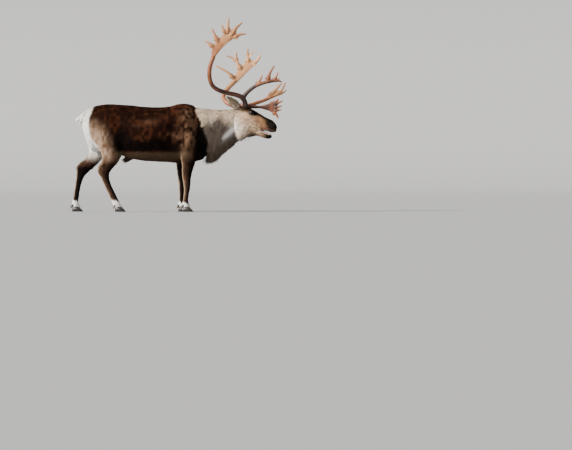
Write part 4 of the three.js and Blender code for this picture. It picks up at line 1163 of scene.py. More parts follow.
def tufts(
    rng, p, n, way, uv, length, width, rise, hairs, spread, steps, droop=0, pinch=0.75, tone=None, dark=0.66
):
    """Strips along a guide: c(t) = p + L t w + h (1.7 t - 0.7 t^2) n + droop L t^2 (0, 0, -1).

    A tuft has so many hairs, each a strip of so many steps. Each hair starts off to one side by spread
    and closes in by the share pinch at its tip. Its colour is the coat's halfway along it, times painted
    shade: the share dark at the root, where the hairs shade each other, and lighter towards the tip.
    Length L, width, rise h and spread are in mm.
    """
    count = len(p)
    length, width, rise, spread, droop = (np.broadcast_to(v, count) for v in (length, width, rise, spread, droop))
    across = np.cross(n, way)
    t = np.linspace(0, 1, steps + 1)
    each = np.repeat(np.arange(count), hairs)
    total = len(each)
    turn = rng.uniform(0, 2 * np.pi, total)
    far = spread[each] * np.sqrt(rng.random(total))
    offset = across[each] * (far * np.cos(turn))[:, None] + way[each] * (0.6 * far * np.sin(turn))[:, None]
    reach = length[each] * rng.uniform(0.72, 1.12, total)
    stand = rise[each] * rng.uniform(0.55, 1.15, total)
    sway = rng.normal(0, 0.09, total)
    heading = unit(way[each] + across[each] * sway[:, None])
    fall = droop[each]
    start = p[each] - n[each] * ROOT_DEPTH
    path = start[:, None] + heading[:, None] * (reach[:, None] * t)[..., None]
    path = path + n[each][:, None] * (stand[:, None] * (1.7 * t - 0.7 * t * t))[..., None]
    path = path - np.array([0, 0, 1.0]) * ((fall * reach)[:, None] * t * t)[..., None]
    path = path + offset[:, None] * (1 - pinch * t**1.3)[None, :, None]
    path[..., 2] = np.maximum(path[..., 2], HAIR_FLOOR)
    roll = rng.normal(0, 0.55, total)[:, None]
    side = unit(np.cross(heading, n[each])) * np.cos(roll) + n[each] * np.sin(roll)
    half = (width[each] * rng.uniform(0.75, 1.2, total))[:, None] * (1 - t[:-1] ** 1.6)[None] / 2
    left = path[:, :-1] - side[:, None] * half[..., None]
    right = path[:, :-1] + side[:, None] * half[..., None]
    points = np.concatenate([np.stack([left, right], 2).reshape(total, -1, 3), path[:, -1:]], 1)
    per = 2 * steps + 1
    lean = np.tile([-0.5, 0.5], steps)
    normal = n[each][:, None] + side[:, None] * np.append(lean, 0)[None, :, None] - heading[:, None] * 0.18
    level = np.append(np.repeat(t[:-1], 2), 1.0)
    middle = p[each] + offset + way[each] * (0.5 * reach)[:, None]
    base = coat_colour(middle, n[each]) if tone is None else tone[each]
    # painted shade: each strip is darkest at its root and lighter towards its tip, with a random tone on top
    shade = rng.normal(1, 0.2 * (1.2 - dark), total)[:, None] * (dark + (1.16 - dark) * level)[None]
    shade = shade * rng.normal(1, 0.07, count)[each][:, None]
    colour = base[:, None] * shade[..., None]
    patch = np.stack([np.append(np.tile([0, 1.0], steps), 0.5), level], 1) - 0.5
    bake = np.clip(uv[each][:, None] + BAKE_PATCH * patch[None], 0.0005, 0.9995)
    s = np.arange(steps - 1)[:, None] * 2
    quad = np.concatenate([s + [0, 1, 2], s + [1, 3, 2]]).reshape(-1, 3)
    tip = np.array([[2 * steps - 2, 2 * steps - 1, 2 * steps]])
    strip = np.concatenate([quad, tip])
    triangles = (np.arange(total)[:, None, None] * per + strip[None]).reshape(-1, 3)
    flat = [v.reshape(-1, v.shape[-1]) for v in (points, unit(normal), colour, bake)]
    return [flat[0], triangles, *flat[1:]]


def coat_piece(name, lot):
    """One object from one lot of tufts: mesh, soft normals, colours and bake map."""
    points, triangles, normals, colours, bake = lot
    obj = mesh_object(name, placed(points), triangles)
    painted(obj, colours)
    layer = obj.data.uv_layers.new(name="OFBake")
    layer.data.foreach_set("uv", bake[triangles.ravel()].astype(np.float32).ravel())
    obj.data.normals_split_custom_set_from_vertices(normals)
    obj.data.materials.append(HAIR_FINISH)
    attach(obj, "root")
    print(name, len(triangles), "triangles")


# %% [markdown]
# The coat of trunk and haunch is close and lies almost flat. It is cut in three objects along the body,
# because a single one would be heavy to handle.

# %% Body coat: six strips to a tuft, four to six centimetres long
LONG_STRIP = 4.2  # mm wide; it stands for many hairs
COUNTS = {"body": 31000, "legs": 20000, "neck": 4300, "mane": 900, "face": 21500, "ruff": 420, "tail": 1100}
SEED = 816
rng = np.random.default_rng(SEED)
head_share, ear_part, neck_share, leg_share, tail_share = regions(TRI_MIDDLE)
trunk_share = (1 - head_share) * (1 - neck_share) * (1 - leg_share) * (1 - tail_share) * (1 - ear_part)
p, n, uv = roots(rng, trunk_share, COUNTS["body"])
way = lie(p, n)
rump = ramp(-p[:, 0], 880, 960)
belly = ramp(720 - p[:, 2], 0, 90)
ruffle = noise(p, 60, 63)
length = 36 + 14 * rump + 16 * belly * (p[:, 0] > -700) + 10 * ruffle
rise = 6 + 5 * ruffle - 3 * ramp(600 - p[:, 2], 0, 100)
order = np.argsort(p[:, 0])
for name, part in zip(("coat_haunch", "coat_flank", "coat_shoulder"), np.array_split(order, 3)):
    lot = tufts(
        rng, p[part], n[part], way[part], uv[part], length[part],
        width=LONG_STRIP, rise=rise[part], hairs=6, spread=7.5, steps=2,
    )
    coat_piece(name, lot)

# %% [markdown]
# Leg hair is short and stiff. The same strips do for it when they are shorter and stand closer, and over
# the hooves they hang down as a white skirt.

# %% Legs: short close hair, longer behind the thigh and over the hooves
p, n, uv = roots(rng, leg_share * (1 + 0.8 * ramp(-TRI_MIDDLE[:, 2], -130, -60)), COUNTS["legs"])
upper = ramp(p[:, 2], 300, 560)
sock = ramp(105 - p[:, 2], 0, 40)
way = unit(lie(p, n) + np.array([0.3, 0, -0.9]) * sock[:, None])
length = 12 + 18 * upper + 28 * sock
lot = tufts(
    rng, p, n, way, uv, length,
    width=2.0 + 1.6 * upper + 0.8 * sock, rise=1.8 + 3 * upper + 10 * sock, hairs=3,
    spread=2.5 + 3 * upper, steps=2, droop=0.2 * sock, dark=0.84,
)
coat_piece("coat_legs", lot)

# %% [markdown]
# In autumn a bull's neck hair is long and hangs in locks, which catch the light like folds of cloth. Each
# lock could be a modelled wedge, but that looks carved. Longer strips with more bends, set in wider groups
# that close to a tip, keep the lock soft.

# %% Neck: long locks that fall back and down
p, n, uv = roots(rng, neck_share, COUNTS["neck"])
x, y, z = p.T
low = ramp(np.interp(x, [230, 400, 520, 640, 740], [740, 730, 790, 860, 900]) - z, -60, 60)
way = unit(lie(p, n) + np.array([-0.15, 0, -1.0]) * (0.5 * low)[:, None])
length = 62 + 20 * noise(p, 50, 64) + 34 * low * ramp(600 - x, 0, 180) - 14 * ramp(x, 600, 700)
rise = 9 + 8 * noise(p, 40, 65) - 5 * low
fall = 0.12 + 0.25 * low
order = np.argsort(p[:, 1])
for name, part in zip(("coat_neck_right", "coat_neck_left"), np.array_split(order, 2)):
    lot = tufts(
        rng, p[part], n[part], way[part], uv[part], length[part],
        width=LONG_STRIP, rise=rise[part], hairs=9, spread=12, steps=5, droop=fall[part], pinch=0.86,
    )
    coat_piece(name, lot)

# %% [markdown]
# Along the throat the locks hang free and make a fringe. They are fewer and longer and bend under their own
# weight, so they get roots of their own on the underside of the neck.

# %% Mane: loose locks that hang from the throat
throat = neck_share * ramp(TRI_MIDDLE[:, 0], 290, 370) * ramp(-TRI_NORMAL[:, 2], -0.1, 0.6)
throat = throat * ramp(1000 - TRI_MIDDLE[:, 2], 0, 100)
p, n, uv = roots(rng, throat, COUNTS["mane"])
length = np.interp(p[:, 0], [300, 350, 400, 440, 560, 640, 760], [50, 92, 120, 110, 76, 50, 34])
length = length * (0.8 + 0.35 * noise(p, 25, 66))
way = unit(np.array([-0.3, 0, -0.95]) + 0.25 * lie(p, n) + 0.12 * rng.normal(size=p.shape))
lot = tufts(
    rng, p, n, way, uv, length,
    width=5, rise=2, hairs=12, spread=15, steps=5, droop=0.15, pinch=0.85,
)
coat_piece("coat_mane", lot)

# %% [markdown]
# The face wears hair of a few millimetres that follows the bones. It is too short to form locks, so small
# strips stand close together and lengthen towards cheeks and nape.

# %% Head: velvet on the nose, growing longer towards the cheeks and the nape
mask = (1 - neck_share) * np.maximum(head_share, ear_part)
straight_middle = head_straight(TRI_MIDDLE)
away_from_eye = np.ones(len(TRI))
for side in SIDES.values():
    away_from_eye *= ramp(np.linalg.norm(straight_middle - EYE * [1, side, 1], axis=1), 24, 31)
# bare places: a ring about each eye, and the inside of the mouth
inside_mouth = (straight_middle[:, 0] > 900) & (TRI_NORMAL @ HEAD_MATRIX[:, 2] < -0.5)
inside_mouth &= straight_middle[:, 2] > 860
mask = mask * away_from_eye * ~inside_mouth
p, n, uv = roots(rng, mask * (0.7 + ramp(straight_middle[:, 0], 800, 1000)), COUNTS["face"])
q = head_straight(p)
way = lie(p, n)
back = 1 - ramp(q[:, 0], 740, 930)
nose = ramp(q[:, 0], 1000, 1060)
_, ears, _, _, _ = regions(p)
length = (8.5 + 14 * back + 12 * back * ramp(960 - q[:, 2], 0, 60) - 3.5 * nose) * (1 - ears) + 10 * ears
lot = tufts(
    rng, p, n, way, uv, length,
    width=1.6 + (1.5 * back) * (1 - ears), rise=0.9 + 2.4 * back * (1 - ears), hairs=3,
    spread=1.6 + 2.6 * back, steps=2, dark=0.84,
)
coat_piece("coat_face", lot)

# %% [markdown]
# A pale ruff falls from the cheek over the neck, and the tail is a short white brush. Both are the same
# strips again, fewer, longer and looser than the hair round them.

# %% Cheek ruff and tail
ruff_share = blob(straight_middle, [735, 0, 900], [42, 1e4, 60]) * (np.abs(straight_middle[:, 1]) > 30)
p, n, uv = roots(rng, ruff_share * (TRI_MIDDLE[:, 0] > 600), COUNTS["ruff"])
way = unit(lie(p, n) + np.array([-0.5, 0, -0.5]))
ruff_tone = mix(coat_colour(p, n), WHITE, 0.15)
length = 44 + 60 * noise(p, 22, 67)
lot = tufts(
    rng, p, n, way, uv, length,
    width=LONG_STRIP, rise=12, hairs=9, spread=10, steps=5, droop=0.18, pinch=0.85, tone=ruff_tone,
)
coat_piece("coat_ruff", lot)
tail_weight = ramp(-TRI_MIDDLE[:, 0], 945, 985) * ramp(TRI_MIDDLE[:, 2], 985, 1010)
tail_weight = tail_weight * (np.abs(TRI_MIDDLE[:, 1]) < 36)
p, n, uv = roots(rng, tail_weight, COUNTS["tail"])
way = unit(0.35 * lie(p, n) + np.array([-0.88, 0, -0.42]) + 0.08 * rng.normal(size=p.shape))
lot = tufts(
    rng, p, n, way, uv, length=50,
    width=7.5, rise=8, hairs=9, spread=12, steps=4, droop=0.1, dark=0.9,
)
coat_piece("coat_tail", lot)

# %% [markdown]
# ## Antlers
#
# An antler is bone: a round beam that carries a bez tine, a brow tine and a flat palm. Tapered branches
# along splines and thin ribbed plates are melted together with small voxels, so that every fork has the
# fillet that grown bone has. Grooves where blood vessels lay run along each branch.

# %% Antler tables, in the place they have on the turned head
RIGHT_BEAM = [
    [746, -32, 1138],
    [745, -38, 1178],
    [728, -52, 1230],
    [694, -70, 1264],
    [640, -88, 1284],
    [530, -130, 1308],
    [445, -178, 1337],
    [390, -222, 1378],
    [360, -262, 1450],
    [354, -285, 1525],
    [366, -294, 1605],
    [398, -292, 1690],
]
LEFT_BEAM = [
    [760, 52, 1123],
    [754, 63, 1158],
    [706, 88, 1166],
    [630, 120, 1170],
    [570, 155, 1185],
    [520, 200, 1220],
    [497, 245, 1265],
    [515, 292, 1320],
    [570, 345, 1390],
    [622, 388, 1452],
]
BEAM_RADII = [24, 23, 24, 22, 21, 21, 20, 20, 20, 20]
BURR = 9
RIGHT_PALM = [
    [352, 1590, 388, 1590, -294, 18],
    [358, 1640, 398, 1640, -292, 16],
    [372, 1715, 430, 1705, -286, 12],
    [384, 1795, 484, 1775, -278, 9],
    [430, 1868, 544, 1835, -268, 8],
    [482, 1925, 602, 1880, -256, 7],
    [535, 1970, 650, 1915, -248, 5],
]
LEFT_PALM = [
    [528, 1370, 560, 1345, 330, 17],
    [568, 1420, 606, 1388, 358, 15],
    [590, 1465, 652, 1432, 382, 11],
    [638, 1540, 730, 1510, 420, 9],
    [684, 1600, 796, 1580, 446, 8],
    [726, 1650, 838, 1622, 460, 7],
    [750, 1692, 862, 1655, 468, 5],
]
BEZ_RIGHT = [
    [716, -54, 1244],
    [748, -62, 1290],
    [800, -76, 1340],
    [860, -90, 1380],
    [920, -100, 1405],
    [985, -107, 1422],
    [1050, -107, 1434],
    [1105, -102, 1436],
    [1142, -96, 1427],
]
BEZ_LEFT = [
    [746, 68, 1160],
    [795, 88, 1174],
    [865, 118, 1198],
    [950, 146, 1228],
    [1020, 162, 1258],
    [1085, 172, 1288],
    [1135, 177, 1312],
]
BEZ_RIGHT_WEB = [
    [846, 1388, 858, 1362, -88, 13],
    [905, 1422, 915, 1384, -98, 11],
    [985, 1446, 985, 1404, -106, 10],
    [1050, 1458, 1055, 1418, -107, 8],
    [1112, 1450, 1112, 1424, -102, 6],
]
BEZ_LEFT_WEB = [
    [935, 1240, 950, 1212, 144, 12],
    [1000, 1280, 1015, 1238, 160, 11],
    [1070, 1318, 1080, 1266, 170, 10],
    [1125, 1340, 1140, 1292, 176, 7],
]
BROW_RIGHT = [
    [748, -36, 1152],
    [790, -28, 1162],
    [855, -32, 1156],
    [935, -44, 1148],
]
BROW_LEFT = [
    [756, 54, 1138],
    [800, 48, 1150],
    [865, 34, 1150],
    [930, 16, 1150],
]
BROW_RIGHT_WEB = [
    [905, 1160, 905, 1138, -40, 13],
    [950, 1167, 950, 1132, -48, 11],
    [1000, 1188, 998, 1110, -55, 10],
    [1046, 1210, 1040, 1086, -61, 8],
    [1086, 1206, 1076, 1074, -66, 6],
]
BROW_LEFT_WEB = [
    [900, 1164, 900, 1138, 24, 12],
    [960, 1180, 960, 1120, 10, 10],
    [1020, 1196, 1020, 1104, -2, 8],
    [1060, 1188, 1058, 1108, -8, 6],
]
RIGHT_TINES = [
    ([[400, -284, 1790], [345, -286, 1846], [306, -284, 1862]], 15),
    ([[448, -276, 1858], [412, -276, 1930], [387, -268, 1996]], 18),
    ([[522, -264, 1950], [500, -262, 2008], [487, -252, 2046]], 14),
    ([[556, -258, 1950], [556, -256, 2035], [566, -240, 2118]], 18),
    ([[590, -256, 1925], [648, -248, 2012], [712, -230, 2070]], 18),
    ([[612, -252, 1900], [682, -245, 1936], [754, -232, 1946]], 17),
    ([[866, -90, 1378], [904, -96, 1440], [933, -94, 1500]], 16),
    ([[982, -106, 1418], [1012, -108, 1515], [1062, -100, 1604]], 17),
    ([[1056, -106, 1432], [1084, -104, 1484], [1105, -98, 1534]], 14),
    ([[1090, -103, 1434], [1108, -100, 1452], [1121, -96, 1472]], 10),
    ([[1050, -60, 1184], [1088, -66, 1214], [1112, -70, 1238]], 15),
    ([[1055, -61, 1176], [1110, -70, 1196], [1153, -74, 1217]], 14),
    ([[1050, -62, 1144], [1108, -72, 1150], [1147, -78, 1162]], 13),
    ([[1050, -62, 1112], [1100, -70, 1112], [1136, -74, 1121]], 13),
    ([[1042, -60, 1098], [1086, -68, 1066], [1106, -70, 1027]], 15),
]
LEFT_TINES = [
    ([[606, 370, 1470], [556, 364, 1533], [417, 352, 1614]], 17),
    ([[694, 430, 1566], [657, 436, 1640], [640, 440, 1688]], 21),
    ([[642, 438, 1662], [640, 440, 1718], [642, 432, 1770]], 14),
    ([[648, 438, 1656], [598, 442, 1702], [526, 432, 1730]], 14),
    ([[774, 462, 1646], [769, 468, 1702], [768, 466, 1738]], 22),
    ([[768, 466, 1712], [764, 468, 1766], [768, 460, 1814]], 14),
    ([[776, 466, 1708], [808, 468, 1752], [832, 458, 1793]], 14),
    ([[806, 464, 1628], [864, 466, 1672], [909, 456, 1738]], 21),
    ([[985, 156, 1250], [1075, 168, 1340], [1146, 162, 1422]], 16),
    ([[1058, 166, 1322], [1088, 172, 1370], [1106, 176, 1408]], 11),
    ([[1078, 171, 1288], [1142, 174, 1340], [1184, 168, 1422]], 16),
    ([[1110, 174, 1302], [1166, 182, 1318], [1196, 186, 1346]], 12),
    ([[1005, 2, 1172], [1060, -4, 1208], [1110, -4, 1235]], 14),
    ([[1020, -2, 1130], [1085, -14, 1118], [1140, -20, 1120]], 14),
]
TIP_RADIUS = 5.5
FLARE = np.array([0.5, 1.08, 1.0, 0.9, 0.76, 0.55])  # a tine's width from its root, in shares of its size
WEB = np.array([0.9, 2.2, 1.35, 0.6, 0.3, 0.2])  # the same for the thin web that joins it to its palm

# %% [markdown]
# Old antler is grooved along each branch, dark at its root and pale where it is young or rubbed. Both
# follow growth, so both are worked out along the nearest branch: the grooves are noise stretched along it,
# and the colour comes from the age that each line has at its two ends. Brow, bez and the low tines get
# low ages, so their dark colour is partly old bone and partly painted shade.

# %% Forms, lines and ages of an antler
ANTLER_VOXEL = 3.2
BONE_DARK = rgb(54, 28, 18)
BONE_WARM = rgb(166, 96, 56)
BONE_PALE = rgb(218, 160, 110)


def axis_of(table):
    """The middle line of a plate from its rib table."""
    rows = np.array([row[:5] for row in table], float)
    return np.stack([(rows[:, 0] + rows[:, 2]) / 2, rows[:, 4], (rows[:, 1] + rows[:, 3]) / 2], 1)


STATIONS = np.linspace(0, 1, 60)  # places along each line of an antler


def antler_parts(beam, palm, bez, bez_web, brow, brow_web, tines):
    """Round branches, ribbed plates, a burr, and tines whose thin webs lie in the plane of their plate."""
    axis = np.array(beam, float)
    rise = unit(axis[1] - axis[0])
    burr = [axis[1] - 14 * rise, axis[1] - 6 * rise, axis[1] + 3 * rise]
    parts = [
        branch(beam, BEAM_RADII, 28, 120, grow=5.0),
        branch(burr, [BEAM_RADII[1] + extra for extra in (0, BURR, 0)], 36, 10),
        ribbed(palm, 36, 60),
        branch(bez, [30, 24, 21, 20, 19, 17, 14, 12, 8], 22, 60),
        ribbed(bez_web, 28, 40),
        branch(brow, [22, 17, 15, 14], 22, 40),
        ribbed(brow_web, 28, 40),
    ]
    plates = [axis_of(table) for table in (palm, bez_web, brow_web)]
    hosts = np.array([spline(rows, STATIONS) for rows in (beam, *plates)])
    courses = unit(np.gradient(hosts, axis=1)).reshape(-1, 3)
    for rows, radius in tines:
        root, start = np.array(rows[0], float), unit(np.array(rows[1], float) - rows[0])
        host = courses[np.argmin(((hosts.reshape(-1, 3) - root) ** 2).sum(1))]
        flat_way = unit(np.cross(host, start))  # square to the plate that the tine grows from
        wide = np.maximum(FLARE * radius, TIP_RADIUS)
        parts.append(branch(rows, wide, 20, 30, flat=(0.7, flat_way)))
        parts.append(branch(rows, np.maximum(WEB * radius, 3.5), 20, 30, flat=(0.19, flat_way)))
    return parts


def aged_lines(beam, palm, bez, bez_web, brow, brow_web, tines):
    """Places along every line, the way it runs there and its age: 0 for old dark bone, 1 for young pale bone."""
    # brow, bez, their webs and the low tines start darkest: partly old bone near the base, partly painted shade
    lines = [(beam, 0, 0.45), (axis_of(palm), 0.5, 0.9), (bez, 0.05, 0.3), (brow, 0.0, 0.12)]
    lines += [(axis_of(bez_web), 0.18, 0.42), (axis_of(brow_web), 0.04, 0.26)]
    for rows, _ in tines:
        high, low = rows[0][2] > 1440, rows[0][2] < 1230
        lines.append((rows, 0.7, 0.86) if high else (rows, 0.2, 0.5) if low else (rows, 0.34, 0.7))
    samples, ways, age_and_shade = [], [], []
    for rows, start, end in lines:
        line = spline(rows, STATIONS)
        samples.append(line)
        ways.append(unit(np.gradient(line, axis=0)))
        age_and_shade.append(start + (end - start) * STATIONS)
    return np.vstack(samples), np.vstack(ways), np.concatenate(age_and_shade)


def nearest_place(points, samples):
    """The number of the nearest sample for each point, worked out in lots to save memory."""
    lots = np.array_split(points, max(1, len(points) // 4000))
    return np.concatenate([np.argmin(((lot[:, None] - samples[None]) ** 2).sum(2), axis=1) for lot in lots])


# %% [markdown]
# Each antler is melted and smoothed. Then two kinds of relief are pushed along its normals, the grooves and
# the pearls about its foot, and the grooves are painted darker than the ridges, as dirt settles there.

# %% One antler


def antler(name, tables, pale):
    """One finished antler from its tables; pale is added to the age of all its lines."""
    obj = melted(name, antler_parts(*tables), ANTLER_VOXEL)
    points = relaxed(measured(points_of(obj)), edges_of(obj), 22)
    samples, ways, age_and_shade = aged_lines(*tables)
    nearest = nearest_place(points, samples)
    way, offset = ways[nearest], points - samples[nearest]
    side = unit(np.cross(way, [0.31, 0.9, 0.3]))
    over = np.cross(way, side)
    grain = np.stack([(offset * side).sum(1), (offset * over).sum(1), nearest * 0.55], 1)
    groove = noise(grain, 6.5, 21)
    foot = np.array(tables[0][1], float)
    pearl = noise(points, 7, 22) * np.exp(-((np.linalg.norm(points - foot, axis=1) / 38) ** 2))
    set_points(obj, placed(points))
    normals = normals_of(obj)
    points += normals * (1.8 * (groove - 0.5) + 5 * (pearl - 0.2 * (pearl > 0)))[:, None]
    set_points(obj, placed(points))
    stage_of = np.clip(age_and_shade[nearest] + pale + 0.3 * (noise(points, 50, 23) - 0.5), 0, 1.1)
    colour = mix(BONE_DARK, BONE_WARM, ramp(stage_of, 0.05, 0.6))
    colour = mix(colour, BONE_PALE, ramp(stage_of, 0.5, 1.0))
    colour = mix(colour, colour * 0.42, 0.9 * ramp(0.5 - groove, 0, 0.34) * (1.15 - stage_of))
    painted(obj, colour)
    obj.data.materials.append(ANTLER_FINISH)
    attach(obj, "root")
    side_name = name.split("_")[1]
    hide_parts(*[f"antler_{side_name}_{part}" for part in ("base", "beam", "palm", "bez", "brow")])
    print(name, len(obj.data.polygons), "faces")


right_set = (RIGHT_BEAM, RIGHT_PALM, BEZ_RIGHT, BEZ_RIGHT_WEB, BROW_RIGHT, BROW_RIGHT_WEB, RIGHT_TINES)
left_set = (LEFT_BEAM, LEFT_PALM, BEZ_LEFT, BEZ_LEFT_WEB, BROW_LEFT, BROW_LEFT_WEB, LEFT_TINES)
antler("antler_right_bone", right_set, 0.0)
antler("antler_left_bone", left_set, 0.36)

# %% [markdown]
# ## Hooves
#
# Each foot has two broad, crescent-shaped toes that spread on soft ground, and two dewclaws behind. They
# are lofts like the limbs, cut flat by the floor, with faint growth rings round the wall.

# %% Toes and dewclaws
TOE = [
    [-44, 40, -42, -6, 0, 17],
    [-24, 52, -26, -8, 0, 25, 2.4],
    [16, 56, 8, -8, 2, 27, 2.5],
    [44, 38, 42, -8, 4, 23, 2.5],
    [62, 20, 61, -6, 2, 15],
    [70, 8, 69, -2, 0, 7],
]
DEWCLAW = [
    [4, 18, 2, -6, 0, 10],
    [-10, 12, -12, -16, 0, 12],
    [-20, -6, -20, -26, 0, 9],
    [-23, -22, -22, -30, 0, 4],
]
HORN = rgb(30, 26, 24)
HORN_PALE = rgb(72, 62, 54)


def moved(part, flip, turn, shift):
    points = (part[0] * [1, flip, 1]) @ rotation("z", turn).T + shift
    return faced_out(points, part[1])


for limb, (table, side) in LEGS.items():
    ankle = table[-2]
    middle = (ankle[0] + ankle[2]) / 2 - 2
    parts = []
    for inner in (-side, side):
        toe, claw = ribbed(TOE, 40, 44), ribbed(DEWCLAW, 24, 20)
        parts.append(moved(toe, inner, math.radians(9 * inner), [middle + 6, ankle[4] + inner * 30, 0]))
        parts.append(moved(claw, 1, -inner * 0.35, [ankle[2] + 2, ankle[4] + inner * 19, 62]))
    points, triangles = stacked(parts)
    height = points[:, 2].copy()
    rings = np.sin(height / 1.5 + 2.5 * noise(points, 30, 31))
    points[:, :2] += 0.35 * rings[:, None] * unit(points[:, :2] - [middle, ankle[4]])
    points[:, 2] = np.maximum(points[:, 2], 0)
    hooves = mesh_object(f"{limb}_hooves", placed(points), triangles)
    worn = ramp(noise(points * [1, 1, 0.4], 14, 32) + 0.2 * rings, 0.45, 1.0) * (1 - 0.5 * ramp(height, 10, 50))
    painted(hooves, mix(HORN, HORN_PALE, 0.6 * worn))
    hooves.data.materials.append(HORN_FINISH)
    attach(hooves, "root")
    words = ("inner_toe", "outer_toe", "inner_dewclaw", "outer_dewclaw")
    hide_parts(*[f"{limb}_{word}" for word in words])
    print(limb, "hooves", len(triangles), "triangles")

# %% [markdown]
# ## Eyes, lids and mouth
#
# A reindeer's eye is large, brown and nearly round, with a level oval pupil. Only a slit of the ball shows
# between thick dark lids, so each lid is a rolled ring of skin carried round the opening.

# %% Eyeballs


def frame_of(side):
    """Directions at one eye in the straight head: where it looks, forwards, and up."""
    look = unit(np.array([0.26, side * 0.95, 0.04]))
    ahead = unit(np.cross([0, 0, 1.0], look) * -side)
    return look, ahead, np.cross(look, ahead) * side


def eye_ball(side):
    look, ahead, up = frame_of(side)
    rings, sides = 40, 64
    theta = np.linspace(0, np.pi, rings + 2)[1:-1, None]
    phi = np.arange(sides)[None] / sides * 2 * np.pi
    swell = 1 + 0.035 * np.exp(-((theta / 0.55) ** 2))  # the cornea stands a little proud
    radial = np.cos(theta)[..., None] * look
    radial = radial + (np.sin(theta) * np.cos(phi))[..., None] * ahead
    radial = radial + (np.sin(theta) * np.sin(phi))[..., None] * up
    centre = EYE * [1, side, 1]
    points = centre + EYE_RADIUS * 0.985 * (swell[..., None] * radial).reshape(-1, 3)
    poles = centre + np.array([look * 1.035, -look]) * EYE_RADIUS * 0.985
    points, triangles = faced_out(np.vstack([points, poles]), ring_triangles(rings, sides))
    d = unit(points - centre)
    reach = np.hypot((d @ ahead) / 0.5, (d @ up) / 0.3)
    iris = np.hypot(d @ ahead, d @ up)
    streak = noise(np.column_stack([d * 60]), 5, 41)
    colour = mix(rgb(40, 22, 12), rgb(66, 38, 20), 0.7 * ramp(streak, 0.4, 0.9))
    colour = mix(colour, rgb(18, 12, 10), ramp(iris, 0.66, 0.78))
    colour = mix(colour, rgb(4, 4, 6), 1 - ramp(reach, 0.8, 1.0))
    return points, triangles, colour


# %% [markdown]
# A lid is a fold of skin that slides over the ball. A slit cut in the head would show rough voxel edges, so
# the lids are rings of their own. They start on the ball, roll over their edge and run out until they lie
# on the face, where they take its colour.

# %% Lids
FACE = head_straight(measured(points_of(skin)))
LID_SIDES = 96
NEAR_EYE = 72  # how far round an eye the skin is looked at, in mm


def skin_height(side, axes, places):
    """How far the skin stands out along the eye's look: sum(w h) / sum(w), with w = 1 / (gap^2 + 4)^2."""
    away = FACE - EYE * [1, side, 1]
    away = away[(np.linalg.norm(away, axis=1) < NEAR_EYE) & (away @ axes[0] > -40)]
    gap = ((places[:, None] - (away @ axes[1:].T)[None]) ** 2).sum(2)
    weight = 1 / (gap + 4) ** 2
    return (weight @ (away @ axes[0])) / weight.sum(1)


def lid_ring(side):
    """Skin rolled round an almond opening, in rings.

    Rows (spread, radius) run from the eyeball over the lid's edge. The outer rings (step, fall, lift) go
    on over the face: they fall away from the lid until they meet the skin, then dive under it.
    """
    centre = EYE * [1, side, 1]
    look, ahead, up = frame_of(side)
    a = np.arange(LID_SIDES) / LID_SIDES * 2 * np.pi
    wide = 1.02 * np.cos(a) + 0.22 * np.maximum(np.cos(a), 0) ** 6  # the tear duct in front
    high = np.where(np.sin(a) > 0, 0.6, 0.5) * np.sign(np.sin(a)) * np.abs(np.sin(a)) ** 1.3
    rows = [(0.97, 16.6), (0.985, 18.5), (1.05, 19.7), (1.18, 20.4), (1.35, 20.6), (1.5, 21.2), (1.7, 21.5)]
    outer = [(3.5, 2.6, 2.2), (7.5, 7.0, 1.6), (12, 14, 1.0), (17, 24, 0.2), (19, 34, -4), (14, 44, -14)]
    rings = []
    for spread, radius in rows:
        extra = 0.16 * (spread - 1)
        x, y = wide * (1 + 0.55 * (spread - 1)), high * spread + extra * np.sign(np.sin(a))
        crease = 0.8 * np.exp(-(((spread - 1.3) / 0.08) ** 2)) * (np.sin(a) > 0.2)
        d = unit(look + x[:, None] * ahead * 1.05 + y[:, None] * up)
        rings.append(centre + d * (radius - crease)[:, None])
    axes = np.stack([look, ahead, up])
    edge = (rings[-1] - centre) @ axes.T
    far = np.linalg.norm(edge[:, 1:], axis=1)
    for step, fall, lift in outer:
        places = edge[:, 1:] * ((far + step) / far)[:, None]
        out = skin_height(side, axes, places) + lift
        if lift >= 0:
            out = np.maximum(edge[:, 0] - fall, out)
        rings.append(centre + out[:, None] * look + places @ axes[1:])
    points = np.concatenate(rings)
    rows += [(3, 0)] * len(outer)
    points, triangles = faced_out(points, wall_triangles(len(rows), LID_SIDES, closed=True))
    tone = np.repeat(np.clip((np.array([r[0] for r in rows]) - 1) / 0.5, 0, 1), LID_SIDES)
    colour = mix(rgb(12, 9, 8), rgb(26, 19, 16), tone)
    shown = np.repeat(np.clip((np.arange(len(rows)) - 7) / 3, 0, 1), LID_SIDES)
    face = head_colour(points, np.tile(look, (len(points), 1)))
    return points, triangles, mix(colour, face, shown)


def mouth_piece(name, pieces, finish_used, slot, *nodes):
    """Joins parts of (points, triangles, colours) into one object in the turned head."""
    points, triangles = stacked([(p, t) for p, t, _ in pieces])
    obj = mesh_object(name, placed(head_turned(points)), triangles)
    painted(obj, np.vstack([c for _, _, c in pieces]))
    obj.data.materials.append(finish_used)
    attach(obj, "root")
    if nodes:
        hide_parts(*nodes)
    print(name, len(triangles), "triangles")


for word, side in SIDES.items():
    mouth_piece(f"{word}_eyeball", [eye_ball(side)], EYE_FINISH, "eye", f"eye_{word}")
LID_FINISH = finish("lid skin", 0.62, [(700, 0.5, 0.7)], Specular_IOR_Level=0.22)
mouth_piece("eyelids", [lid_ring(side) for side in SIDES.values()], LID_FINISH, "face_coat")

# %% [markdown]
# The open mouth shows the tongue and the tips of the lower front teeth. The upper jaw has none in front.
# Both are small lofts like the toes, because no more than their outline is seen.

# %% Tongue and the small front teeth of the lower jaw


def tooth(place):
    """A small chisel: a flattened rounded column that leans forwards."""
    x, y, z = place
    rows = [[x, y, z - 6], [x + 2, y * 1.02, z], [x + 5, y * 1.05, z + 8]]
    return branch(rows, [2.6, 3.0, 2.2], 12, 8)


